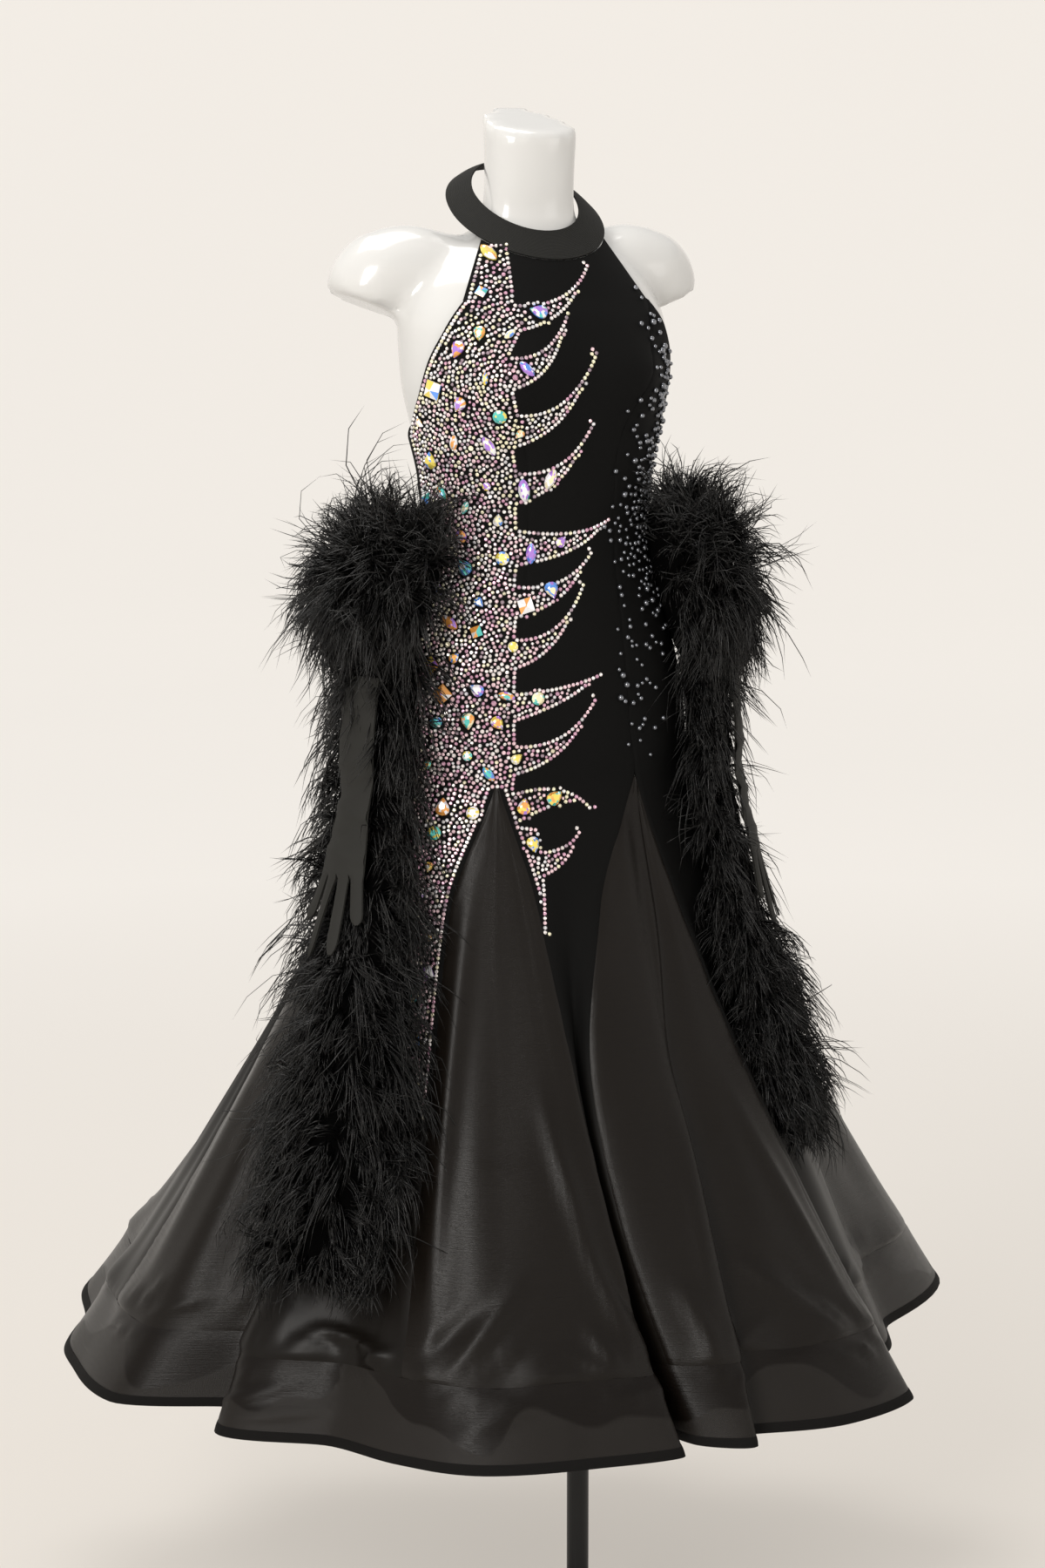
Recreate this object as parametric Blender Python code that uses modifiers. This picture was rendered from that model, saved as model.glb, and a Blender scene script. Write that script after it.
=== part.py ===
"""Ballroom dance dress on a limbless dress form with its pole and round base.

Metres, +Z up, front of the dress towards -Y, the wearer's left towards +X.  The frame's origin is
the middle of the base's underside.  Heights in the tables are above the floor a wearer would stand
on; the stand lifts everything by STAND_LIFT.  Angles are degrees from centre front towards the
wearer's left.
"""
import math

import bmesh
import bpy
from mathutils import Vector

# ---- driving dimensions -------------------------------------------------------------------
STAND_LIFT = 0.150          # the form stands this much higher than a wearer would
AXIS_X = -0.034             # middle of the figure, measured from the pole
AXIS_Y = 0.045
CLOTH = 0.0012              # thickness of every gore, godet and band
COLLAR_CLOTH = 0.0018
BINDING_CLOTH = 0.0020
GLOVE_CLOTH = 0.0010
SEAM_GAP = 0.0003           # space left between two pieces at a seam
EASE = 0.0045               # middle of the cloth outside the figure

APEX = 0.830                # top of every godet
BAND_SEAM = 0.248           # gores and godets end here and the hem band starts
HEM = 0.179                 # lower edge of the band
BINDING_DEPTH = 0.009
GODET_TOP = 0.826
FLARE_POWER = 1.25
LEVELS = (0.830, 0.700, 0.530, 0.172)

NECK_Y = 0.020              # middle of the collar
COLLAR_LOW = 1.4185
COLLAR_LOW_RADIUS = 0.084
COLLAR_LOW_SLOPE = 0.56
COLLAR_HIGH = 1.437
COLLAR_HIGH_RADIUS = 0.057
COLLAR_HIGH_SLOPE = 0.64
COLLAR_CUTS = 40
HALTER_REACH = 72.0         # the bodice meets the collar over this angle each side of the front
HALTER_START = 1.330
HALTER_ROWS = 4
WAIST_LINE = 1.060
BODICE_STEPS = 6

BUST_ANGLE = 33.0
BUST_HEIGHT = 1.245
BUST_FORWARD = 0.020
FORM_BUST_FORWARD = 0.011
BUST_SPREAD = 21.0
BUST_TALL = 0.047
FORM_CUTS = 36
FORM_FOOT = 0.740
NECK_TOP = 1.512
NECK_SLANT = 0.30

POLE_RADIUS = 0.012
BASE_RADIUS = 0.170
BASE_THICK = 0.012

FLOAT_CLEAR = 0.010
FLOAT_CUTS = 14

# figure: height, half width, front, back
FIGURE = (
    (0.740, 0.160, 0.100, 0.112),
    (0.800, 0.168, 0.106, 0.122),
    (0.860, 0.170, 0.108, 0.126),
    (0.920, 0.163, 0.109, 0.118),
    (1.000, 0.142, 0.106, 0.098),
    (1.080, 0.120, 0.100, 0.078),
    (1.140, 0.124, 0.102, 0.082),
    (1.200, 0.138, 0.104, 0.092),
    (1.250, 0.148, 0.106, 0.102),
    (1.300, 0.150, 0.096, 0.108),
    (1.340, 0.134, 0.074, 0.108),
    (1.375, 0.098, 0.047, 0.102),
    (1.400, 0.062, 0.029, 0.093),
    (1.420, 0.048, 0.024, 0.082),
    (1.445, 0.047, 0.027, 0.071),
    (1.480, 0.048, 0.031, 0.068),
    (1.512, 0.050, 0.034, 0.067),
)

# shoulder stub: across, towards the back, height, lean, half height, half depth
STUB = (
    (0.040, 0.038, 1.350, 0.0, 0.038, 0.044),
    (0.085, 0.040, 1.353, 4.0, 0.047, 0.050),
    (0.120, 0.043, 1.357, 14.0, 0.052, 0.052),
    (0.150, 0.045, 1.352, 32.0, 0.052, 0.052),
    (0.169, 0.047, 1.339, 55.0, 0.046, 0.048),
    (0.176, 0.048, 1.324, 68.0, 0.041, 0.045),
)

# princess seams: height, angle on the wearer's right, angle on the wearer's left
PRINCESS = (
    (0.830, 42.0, 36.0),
    (0.900, 36.0, 31.0),
    (1.000, 30.0, 28.0),
    (1.080, 28.0, 27.0),
    (1.150, 28.0, 26.0),
    (1.210, 32.0, 29.0),
    (1.262, 43.0, 41.0),
    (1.300, 54.0, 52.0),
    (1.330, 62.0, 61.0),
)
SIDE_SEAM = 89.0

# armhole edge: height, angle
ARMHOLE = (
    (1.180, 95.0),
    (1.235, 78.0),
    (1.270, 72.0),
    (1.300, 66.0),
    (1.330, 61.5),
)

# low back edge: angle, height
BACK_EDGE = (
    (89.0, 1.199),
    (110.0, 1.170),
    (138.0, 1.146),
    (180.0, 1.136),
)

# seam and fold lines round the skirt: name, angle at the apex, thigh, knee and hem, reach at the
# hem, columns of cloth up to the next line
LINES = (
    ("centre_back", -180.0, -180.0, -180.0, -180.0, 0.585, 3),
    ("back_fold_right", -160.0, -165.0, -168.0, -170.0, 0.610, 3),
    ("back_godet_right_in", -138.0, -150.0, -155.0, -160.0, 0.545, 3),
    ("back_godet_right_fold", -138.0, -142.0, -145.0, -147.0, 0.605, 3),
    ("back_godet_right_out", -138.0, -134.0, -133.0, -131.0, 0.530, 4),
    ("side_back_fold_right", -112.0, -116.0, -117.0, -119.0, 0.520, 4),
    ("side_godet_right_in", -89.0, -100.0, -106.0, -110.0, 0.502, 3),
    ("side_godet_right_fold", -89.0, -93.0, -95.0, -95.0, 0.478, 3),
    ("side_godet_right_out", -89.0, -86.0, -84.5, -84.0, 0.365, 3),
    ("side_fold_right", -80.0, -76.0, -75.0, -74.0, 0.428, 3),
    ("side_hollow_right", -62.0, -63.0, -61.0, -58.0, 0.378, 3),
    ("front_godet_right_out", -42.0, -54.0, -51.0, -45.0, 0.400, 3),
    ("front_godet_right_fold", -42.0, -44.0, -39.0, -33.0, 0.416, 3),
    ("front_godet_right_flat", -42.0, -32.0, -24.0, -14.0, 0.392, 3),
    ("front_godet_right_in", -42.0, -23.0, -13.0, -1.5, 0.384, 5),
    ("centre_front_fold", -3.0, -9.0, -10.5, 1.0, 0.305, 5),
    ("front_godet_left_in", 36.0, 5.0, -7.5, 3.5, 0.355, 3),
    ("front_godet_left_fold", 36.0, 28.0, 17.0, 10.5, 0.392, 2),
    ("front_godet_left_hollow", 36.0, 32.0, 21.0, 14.5, 0.358, 3),
    ("front_godet_left_flat", 36.0, 36.0, 32.0, 29.0, 0.408, 3),
    ("front_godet_left_out", 36.0, 40.0, 41.0, 44.0, 0.432, 3),
    ("side_hollow_left", 52.0, 53.0, 54.0, 55.0, 0.350, 3),
    ("side_fold_left", 68.0, 69.0, 70.0, 70.0, 0.398, 3),
    ("side_godet_left_out", 89.0, 83.0, 82.0, 81.0, 0.415, 3),
    ("side_godet_left_fold", 89.0, 94.0, 98.0, 102.0, 0.590, 3),
    ("side_godet_left_in", 89.0, 102.0, 109.0, 114.0, 0.535, 4),
    ("side_back_fold_left", 112.0, 117.0, 121.0, 125.0, 0.590, 4),
    ("back_godet_left_out", 138.0, 134.0, 134.0, 134.0, 0.520, 3),
    ("back_godet_left_fold", 138.0, 143.0, 146.0, 148.0, 0.600, 3),
    ("back_godet_left_in", 138.0, 151.0, 156.0, 162.0, 0.550, 3),
)

# gores: name, first line, last line
GORES = (
    ("back_right", "centre_back", "back_godet_right_in"),
    ("side_back_right", "back_godet_right_out", "side_godet_right_in"),
    ("side_front_right", "side_godet_right_out", "front_godet_right_out"),
    ("centre_front", "front_godet_right_in", "front_godet_left_in"),
    ("side_front_left", "front_godet_left_out", "side_godet_left_out"),
    ("side_back_left", "side_godet_left_in", "back_godet_left_out"),
    ("back_left", "back_godet_left_in", "centre_back"),
)

# godets: name, first line, last line
GODETS = (
    ("back_godet_right", "back_godet_right_in", "back_godet_right_out"),
    ("side_godet_right", "side_godet_right_in", "side_godet_right_out"),
    ("front_godet_right", "front_godet_right_out", "front_godet_right_in"),
    ("front_godet_left", "front_godet_left_in", "front_godet_left_out"),
    ("side_godet_left", "side_godet_left_out", "side_godet_left_in"),
    ("back_godet_left", "back_godet_left_out", "back_godet_left_in"),
)

# lengths of hem band: name, first line, last line
BANDS = (
    ("hem_band_right", "centre_back", "side_godet_right_out"),
    ("hem_band_front", "side_godet_right_out", "side_hollow_left"),
    ("hem_band_left", "side_hollow_left", "centre_back"),
)

SKIRT_HEIGHTS = (BAND_SEAM, 0.340, 0.430, 0.530, 0.620, 0.700, 0.765)
GODET_HEIGHTS = SKIRT_HEIGHTS + (GODET_TOP,)
GORE_HEIGHTS = SKIRT_HEIGHTS + (0.830, 0.890, 0.950, 1.005)
BAND_HEIGHTS = (HEM, 0.213, BAND_SEAM - SEAM_GAP)
BINDING_HEIGHTS = (HEM - BINDING_DEPTH, HEM - 2.0 * SEAM_GAP)

# feather trim of each glove: height, angle, half width, thickness
CUFF_RIGHT = (
    (1.108, -84.0, 0.030, 0.034),
    (1.090, -85.0, 0.062, 0.074),
    (1.052, -86.0, 0.078, 0.100),
    (1.010, -86.0, 0.076, 0.098),
    (0.982, -85.0, 0.066, 0.074),
    (0.968, -84.0, 0.040, 0.040),
)
BOA_RIGHT = (
    (0.964, -84.0, 0.040, 0.024),
    (0.948, -84.0, 0.060, 0.036),
    (0.860, -84.0, 0.064, 0.042),
    (0.765, -82.0, 0.062, 0.044),
    (0.700, -77.0, 0.064, 0.044),
    (0.620, -72.0, 0.070, 0.046),
    (0.530, -68.0, 0.078, 0.050),
    (0.430, -65.0, 0.080, 0.052),
    (0.360, -64.0, 0.070, 0.050),
    (0.315, -63.0, 0.048, 0.036),
    (0.300, -63.0, 0.026, 0.020),
)
CUFF_LEFT = (
    (1.118, 70.0, 0.028, 0.032),
    (1.100, 70.0, 0.056, 0.070),
    (1.060, 71.0, 0.070, 0.098),
    (1.000, 72.0, 0.070, 0.094),
    (0.962, 73.0, 0.060, 0.066),
    (0.948, 73.0, 0.036, 0.034),
)
BOA_LEFT = (
    (0.944, 73.0, 0.036, 0.024),
    (0.928, 73.0, 0.052, 0.036),
    (0.850, 72.0, 0.054, 0.042),
    (0.765, 70.0, 0.050, 0.042),
    (0.700, 68.0, 0.050, 0.040),
    (0.620, 64.0, 0.050, 0.040),
    (0.530, 61.0, 0.052, 0.042),
    (0.440, 59.0, 0.044, 0.036),
    (0.405, 58.0, 0.022, 0.018),
)

# glove hanging empty in front of its boa: height, half width
GLOVE = (
    (0.942, 0.024),
    (0.890, 0.024),
    (0.845, 0.023),
    (0.805, 0.021),
    (0.775, 0.026),
    (0.738, 0.032),
)
FINGER_ROOT = 0.738
FINGER_HALF = 0.0066
# fingers: sideways place of the tip, length
FINGERS = (
    (-0.030, 0.078),
    (-0.010, 0.090),
    (0.010, 0.084),
    (0.028, 0.060),
)
GLOVE_BULGE = 0.0030
GLOVE_PLACES = (
    ("glove_right", -78.0, 0.062),
    ("glove_left", 72.0, 0.061),
)

# materials: name, red, green, blue, roughness
FINISHES = {
    "black_crepe": (0.012, 0.012, 0.012, 0.85),
    "black_satin": (0.022, 0.020, 0.018, 0.40),
    "collar_cloth": (0.018, 0.018, 0.020, 0.70),
    "binding_black": (0.008, 0.007, 0.012, 0.60),
    "black_feather": (0.010, 0.010, 0.010, 0.90),
    "glove_mesh": (0.020, 0.020, 0.018, 0.80),
    "gloss_white": (0.800, 0.790, 0.770, 0.15),
    "pole_black": (0.015, 0.015, 0.015, 0.35),
}


def smooth_between(places, values, place):
    """Value at a place on the smooth curve that keeps every rise and fall of a table's column."""
    last = len(places) - 1
    index = 0
    while index < last - 1 and place > places[index + 1]:
        index += 1
    steps = [(values[i + 1] - values[i]) / (places[i + 1] - places[i]) for i in range(last)]
    slopes = []
    for i in range(last + 1):
        before = steps[max(i - 1, 0)]
        after = steps[min(i, last - 1)]
        slopes.append(0.0 if before * after <= 0.0 else 2.0 * before * after / (before + after))
    span = places[index + 1] - places[index]
    part = (place - places[index]) / span
    if part < 0.0 or part > 1.0:
        edge = index if part < 0.0 else index + 1
        return values[edge] + slopes[edge] * (place - places[edge])
    rise = part * part * (3.0 - 2.0 * part)
    lead = part * (1.0 - part) * (1.0 - part) * span
    tail = part * part * (part - 1.0) * span
    return (
        values[index] * (1.0 - rise)
        + values[index + 1] * rise
        + slopes[index] * lead
        + slopes[index + 1] * tail
    )


def column(table, number):
    return [row[number] for row in table]


def figure_radius(height, angle, bust):
    """Distance from the figure's axis to its surface."""
    heights = column(FIGURE, 0)
    across = smooth_between(heights, column(FIGURE, 1), height)
    turned = math.radians(angle)
    deep_column = 2 if math.cos(turned) > 0.0 else 3
    deep = smooth_between(heights, column(FIGURE, deep_column), height)
    radius = 1.0 / math.hypot(math.sin(turned) / across, math.cos(turned) / deep)
    aside = (abs(angle) - BUST_ANGLE) / BUST_SPREAD
    above = (height - BUST_HEIGHT) / BUST_TALL
    return radius + bust * math.exp(-aside * aside - above * above)


def around(radius, angle, height):
    turned = math.radians(angle)
    return Vector((radius * math.sin(turned), -radius * math.cos(turned), height))


def bodice_angle(apex_angle, height):
    """Angle of a line above the godets, moved with the princess seams."""
    side = 1 if apex_angle < 0.0 else 2
    seam = smooth_between(column(PRINCESS, 0), column(PRINCESS, side), height)
    seam_apex = PRINCESS[0][side]
    size = abs(apex_angle)
    if size <= seam_apex:
        moved = size * seam / seam_apex
    elif size <= SIDE_SEAM:
        moved = seam + (size - seam_apex) * (SIDE_SEAM - seam) / (SIDE_SEAM - seam_apex)
    else:
        moved = size
    return math.copysign(moved, apex_angle)


def line_angle(row, height):
    if height >= APEX:
        return bodice_angle(row[1], height)
    heights = [-level for level in LEVELS]
    return smooth_between(heights, row[1:5], -height)


def ring_row(number):
    """A row of the lines table, carried on past either end of the turn."""
    turns, place = divmod(number, len(LINES))
    row = LINES[place]
    return [row[0]] + [angle + 360.0 * turns for angle in row[1:5]] + [row[5]]


def place_on_ring(place, height):
    """Angle and hem reach at a place given in lines round the skirt."""
    first = math.floor(place) - 2
    numbers = list(range(first, first + 6))
    rows = [ring_row(number) for number in numbers]
    angles = []
    for row in rows:
        turn = 360.0 * math.floor((row[1] + 180.0) / 360.0)
        home = [row[0]] + [angle - turn for angle in row[1:5]]
        angles.append(line_angle(home, height) + turn)
    angle = smooth_between(numbers, angles, place)
    reach = smooth_between(numbers, [row[5] for row in rows], place)
    return angle, reach


def flare(height):
    fall = max(0.0, (APEX - height) / (APEX - LEVELS[-1]))
    return fall ** FLARE_POWER


def gown_radius(angle, reach, height):
    wrapped = (angle + 180.0) % 360.0 - 180.0
    if height >= APEX:
        return figure_radius(height, wrapped, BUST_FORWARD) + EASE
    share = flare(height)
    hip = figure_radius(APEX, wrapped, BUST_FORWARD) + EASE
    return hip * (1.0 - share) + reach * share


def gown_point(place, height, inset):
    angle, reach = place_on_ring(place, height)
    radius = gown_radius(angle, reach, height)
    moved = angle + math.degrees(inset / radius)
    return around(radius, moved, height)


def gown_normal(place, height):
    """Outward direction of the cloth, the same on both sides of a seam."""
    along = gown_point(place + 0.05, height, 0.0) - gown_point(place - 0.05, height, 0.0)
    rising = gown_point(place, height + 0.002, 0.0) - gown_point(place, height - 0.002, 0.0)
    return along.cross(rising).normalized()


def gown_spot(place, height, inset):
    """A point of the cloth with its outward direction."""
    return gown_point(place, height, inset), gown_normal(place, height)


def radius_at_angle(angle, height):
    """Distance out to the cloth at an angle, found between close places round the ring."""
    near = None
    for step in range(len(LINES) * 8 + 1):
        here, reach = place_on_ring(step / 8.0, height)
        radius = gown_radius(here, reach, height)
        if near is not None and here >= angle:
            part = (angle - near[0]) / max(here - near[0], 1e-6)
            return near[1] + (radius - near[1]) * part
        near = (here, radius)
    return near[1]


def line_number(name, after):
    """Place of a named line, taken past the end of the turn when it must follow another."""
    number = column(LINES, 0).index(name)
    return number if number > after else number + len(LINES)


def places_between(first, last):
    start = line_number(first, -1)
    end = line_number(last, start)
    places = []
    for number in range(start, end):
        cuts = LINES[number % len(LINES)][6]
        places += [number + cut / cuts for cut in range(cuts)]
    return places + [float(end)]


def inset_at(number, count):
    """Half a seam's gap, inwards from either side of a piece."""
    if number == 0:
        return SEAM_GAP / 2.0
    if number == count - 1:
        return -SEAM_GAP / 2.0
    return 0.0


def sheet_rows(first, last, heights):
    places = places_between(first, last)
    count = len(places)
    return [
        [gown_spot(place, height, inset_at(i, count)) for i, place in enumerate(places)]
        for height in heights
    ]


def collar_point(angle, share, drop):
    """A point of the neck band, from its lower edge at share 0 to its upper edge at share 1."""
    radius = COLLAR_LOW_RADIUS + (COLLAR_HIGH_RADIUS - COLLAR_LOW_RADIUS) * share
    slope = COLLAR_LOW_SLOPE + (COLLAR_HIGH_SLOPE - COLLAR_LOW_SLOPE) * share
    middle = COLLAR_LOW + (COLLAR_HIGH - COLLAR_LOW) * share
    turned = math.radians(angle)
    back = -radius * math.cos(turned)
    return Vector((radius * math.sin(turned), NECK_Y + back, middle + slope * back - drop))


def collar_spot(angle, share, drop):
    """A point of the neck band with its outward direction."""
    along = collar_point(angle + 0.5, share, drop) - collar_point(angle - 0.5, share, drop)
    rising = collar_point(angle, share + 0.05, drop) - collar_point(angle, share - 0.05, drop)
    return collar_point(angle, share, drop), along.cross(rising).normalized()


def top_height(place):
    """Height of the bodice's free edge on a line of cloth outside the centre front."""
    apex_angle, reach = place_on_ring(place, APEX)
    wrapped = (apex_angle + 180.0) % 360.0 - 180.0
    size = abs(wrapped)
    if size >= SIDE_SEAM:
        return smooth_between(column(BACK_EDGE, 0), column(BACK_EDGE, 1), size)
    low = ARMHOLE[0][0]
    high = ARMHOLE[-1][0]
    for halving in range(30):
        middle = (low + high) / 2.0
        edge = smooth_between(column(ARMHOLE, 0), column(ARMHOLE, 1), middle)
        if abs(bodice_angle(wrapped, middle)) < edge:
            low = middle
        else:
            high = middle
    return low


def gore_rows(first, last):
    """A gore from the hem band's seam to the free edge of the bodice."""
    places = places_between(first, last)
    count = len(places)
    rows = sheet_rows(first, last, GORE_HEIGHTS)
    for step in range(BODICE_STEPS + 1):
        row = []
        for i, place in enumerate(places):
            height = WAIST_LINE + (top_height(place) - WAIST_LINE) * step / BODICE_STEPS
            row.append(gown_spot(place, height, inset_at(i, count)))
        rows.append(row)
    return rows


def centre_front_rows(first, last):
    """The centre front gore, which carries on up the halter to the collar."""
    rise = (HALTER_START - WAIST_LINE) / BODICE_STEPS
    bodice = tuple(WAIST_LINE + rise * step for step in range(BODICE_STEPS + 1))
    rows = sheet_rows(first, last, GORE_HEIGHTS + bodice)
    start = rows[-1]
    last_column = len(start) - 1
    for step in range(1, HALTER_ROWS + 1):
        share = step / HALTER_ROWS
        row = []
        for i, (point, outward) in enumerate(start):
            turn = HALTER_REACH * (2.0 * i / last_column - 1.0)
            end, end_outward = collar_spot(turn, 0.0, COLLAR_CLOTH)
            row.append((point.lerp(end, share), outward.lerp(end_outward, share).normalized()))
        rows.append(row)
    return rows


def paint_for(name, finish):
    red, green, blue, rough = FINISHES[finish]
    paint = bpy.data.materials.new(name + "_" + finish)
    paint.use_nodes = True
    shader = paint.node_tree.nodes["Principled BSDF"]
    shader.inputs["Base Color"].default_value = (red, green, blue, 1.0)
    shader.inputs["Roughness"].default_value = rough
    return paint


def new_mesh(name, finish, collection):
    mesh = bpy.data.meshes.new(name)
    thing = bpy.data.objects.new(name, mesh)
    collection.objects.link(thing)
    mesh.materials.append(paint_for(name, finish))
    thing.location = (AXIS_X, AXIS_Y, STAND_LIFT)
    return thing


def two_faces(shape, near_low, far_low, far_high, near_high):
    """A four-sided patch as two triangles, always cut from its near low to its far high corner."""
    shape.faces.new((near_low, far_low, far_high))
    shape.faces.new((near_low, far_high, near_high))


def thin_sheet(name, finish, collection, rows, thickness, closed):
    """A panel lofted through unlike rows, half its thickness to either side of the middle."""
    thing = new_mesh(name, finish, collection)
    shape = bmesh.new()
    half = thickness / 2.0
    outer = [[shape.verts.new(spot + way * half) for spot, way in row] for row in rows]
    inner = [[shape.verts.new(spot - way * half) for spot, way in row] for row in rows]
    count = len(rows[0])
    around_count = count if closed else count - 1
    for low in range(len(rows) - 1):
        high = low + 1
        for i in range(around_count):
            after = (i + 1) % count
            two_faces(shape, outer[low][i], outer[low][after], outer[high][after], outer[high][i])
            two_faces(shape, inner[low][i], inner[low][after], inner[high][after], inner[high][i])
        if not closed:
            two_faces(shape, inner[low][0], outer[low][0], outer[high][0], inner[high][0])
            two_faces(shape, inner[low][-1], outer[low][-1], outer[high][-1], inner[high][-1])
    for i in range(around_count):
        after = (i + 1) % count
        two_faces(shape, inner[0][i], inner[0][after], outer[0][after], outer[0][i])
        two_faces(shape, inner[-1][i], inner[-1][after], outer[-1][after], outer[-1][i])
    bmesh.ops.recalc_face_normals(shape, faces=shape.faces)
    shape.to_mesh(thing.data)
    shape.free()
    return thing


def lofted_body(name, finish, collection, rings):
    """A closed body through rings of equal count, flat at both ends."""
    thing = new_mesh(name, finish, collection)
    shape = bmesh.new()
    corners = [[shape.verts.new(point) for point in ring] for ring in rings]
    for low, high in zip(corners[:-1], corners[1:]):
        count = len(low)
        for i in range(count):
            after = (i + 1) % count
            two_faces(shape, low[i], low[after], high[after], high[i])
    shape.faces.new(list(reversed(corners[0])))
    shape.faces.new(corners[-1])
    bmesh.ops.recalc_face_normals(shape, faces=shape.faces)
    shape.to_mesh(thing.data)
    shape.free()
    return thing


def feather_rings(table):
    """Rings of a feather trim: its inner side follows the cloth and its outer side swells."""
    rings = []
    for height, middle, half_width, thickness in table:
        base = radius_at_angle(middle, height)
        ring = []
        for cut in range(FLOAT_CUTS):
            turn = 2.0 * math.pi * cut / FLOAT_CUTS
            angle = middle + math.degrees(half_width * math.cos(turn) / base)
            out = FLOAT_CLEAR + thickness * (0.5 + 0.5 * math.sin(turn))
            radius = radius_at_angle(angle, height) + out
            ring.append(around(radius, angle, height))
        rings.append(ring)
    return rings


def glove_point(middle, out, across, height):
    base = radius_at_angle(middle, height)
    angle = middle + math.degrees(across / (base + out))
    return around(radius_at_angle(angle, height) + out, angle, height)


def glove_sheet(name, collection, middle, out, bulge):
    """One side of an empty glove: a tapering arm, a palm and four fingers."""
    thing = new_mesh(name, "glove_mesh", collection)
    shape = bmesh.new()
    columns = len(FINGERS) * 2

    def corner(across, half, height):
        swell = bulge * (1.0 - (across / half) ** 2)
        return shape.verts.new(glove_point(middle, out + swell, across, height))

    rows = []
    for height, half in GLOVE:
        places = [half * (2.0 * i / columns - 1.0) for i in range(columns + 1)]
        rows.append([corner(place, half, height) for place in places])
    for high, low in zip(rows[:-1], rows[1:]):
        for i in range(columns):
            shape.faces.new((low[i], low[i + 1], high[i + 1], high[i]))
    palm = GLOVE[-1][1]
    for number, (tip, length) in enumerate(FINGERS):
        high = rows[-1][2 * number:2 * number + 3]
        root = palm * (2.0 * (2 * number + 1) / columns - 1.0)
        for share, narrow in ((0.30, 1.0), (0.80, 0.92), (1.0, 0.45)):
            middle_line = root + (tip - root) * share
            low = []
            for side in (-1.0, 0.0, 1.0):
                across = side * FINGER_HALF * narrow
                swell = bulge * 0.5 * (1.0 - side * side)
                height = FINGER_ROOT - length * share
                spot = glove_point(middle, out + swell, middle_line + across, height)
                low.append(shape.verts.new(spot))
            shape.faces.new((low[0], low[1], high[1], high[0]))
            shape.faces.new((low[1], low[2], high[2], high[1]))
            high = low
    shape.to_mesh(thing.data)
    shape.free()
    wall = thing.modifiers.new("cloth", "SOLIDIFY")
    wall.thickness = GLOVE_CLOTH
    wall.offset = 0.0
    wall.use_even_offset = True
    return thing


def form_rings():
    rings = []
    for height in column(FIGURE, 0):
        ring = []
        for cut in range(FORM_CUTS):
            angle = 360.0 * cut / FORM_CUTS - 180.0
            spot = around(figure_radius(height, angle, FORM_BUST_FORWARD), angle, height)
            if height >= NECK_TOP:
                spot.z += NECK_SLANT * spot.y
            ring.append(spot)
        rings.append(ring)
    return rings


def stub_rings(side):
    rings = []
    for across, back, height, lean, half_height, half_depth in STUB:
        tipped = math.radians(lean)
        ring = []
        for cut in range(20):
            turn = 2.0 * math.pi * cut / 20
            up = half_height * math.cos(turn)
            deep = half_depth * math.sin(turn)
            x = across + up * math.sin(tipped)
            z = height + up * math.cos(tipped)
            ring.append(Vector((side * x, back + deep, z)))
        rings.append(ring)
    return rings


def upright_cylinder(name, finish, collection, radius, low, high, sides):
    bpy.ops.mesh.primitive_cylinder_add(
        vertices=sides, radius=radius, depth=high - low, location=(0.0, 0.0, (low + high) / 2.0)
    )
    thing = bpy.context.object
    for home in list(thing.users_collection):
        home.objects.unlink(thing)
    collection.objects.link(thing)
    thing.name = name
    thing.data.materials.append(paint_for(name, finish))
    return thing


for old in list(bpy.data.objects):
    bpy.data.objects.remove(old, do_unlink=True)

parts = bpy.data.collections.new("ballroom_dance_dress")
bpy.context.scene.collection.children.link(parts)
tools = bpy.data.collections.new("cutters")
bpy.context.scene.collection.children.link(tools)

# ---- dress ----------------------------------------------------------------------------------
for name, first, last in GORES:
    build_rows = centre_front_rows if name == "centre_front" else gore_rows
    thin_sheet(name, "black_crepe", parts, build_rows(first, last), CLOTH, False)

for name, first, last in GODETS:
    rows = sheet_rows(first, last, GODET_HEIGHTS)
    thin_sheet(name, "black_satin", parts, rows, CLOTH, False)

for name, first, last in BANDS:
    rows = sheet_rows(first, last, BAND_HEIGHTS)
    thin_sheet(name, "black_satin", parts, rows, CLOTH, False)

binding_places = places_between("centre_back", "centre_back")[:-1]
binding = [[gown_spot(place, height, 0.0) for place in binding_places]
           for height in BINDING_HEIGHTS]
thin_sheet("hem_binding", "binding_black", parts, binding, BINDING_CLOTH, True)

collar_gap = math.degrees(SEAM_GAP / COLLAR_HIGH_RADIUS)
collar_turns = [
    -180.0 + collar_gap + (360.0 - 2.0 * collar_gap) * cut / COLLAR_CUTS
    for cut in range(COLLAR_CUTS + 1)
]
collar = [[collar_spot(turn, share, 0.0) for turn in collar_turns] for share in (0.0, 0.5, 1.0)]
thin_sheet("collar", "collar_cloth", parts, collar, COLLAR_CLOTH, False)

# ---- gloves with their feathers -------------------------------------------------------------
lofted_body("feather_cuff_right", "black_feather", parts, feather_rings(CUFF_RIGHT))
lofted_body("feather_boa_right", "black_feather", parts, feather_rings(BOA_RIGHT))
lofted_body("feather_cuff_left", "black_feather", parts, feather_rings(CUFF_LEFT))
lofted_body("feather_boa_left", "black_feather", parts, feather_rings(BOA_LEFT))
for name, middle, out in GLOVE_PLACES:
    front = out + GLOVE_CLOTH + SEAM_GAP
    glove_sheet(name + "_under", parts, middle, out, 0.0)
    glove_sheet(name + "_upper", parts, middle, front, GLOVE_BULGE)

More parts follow.
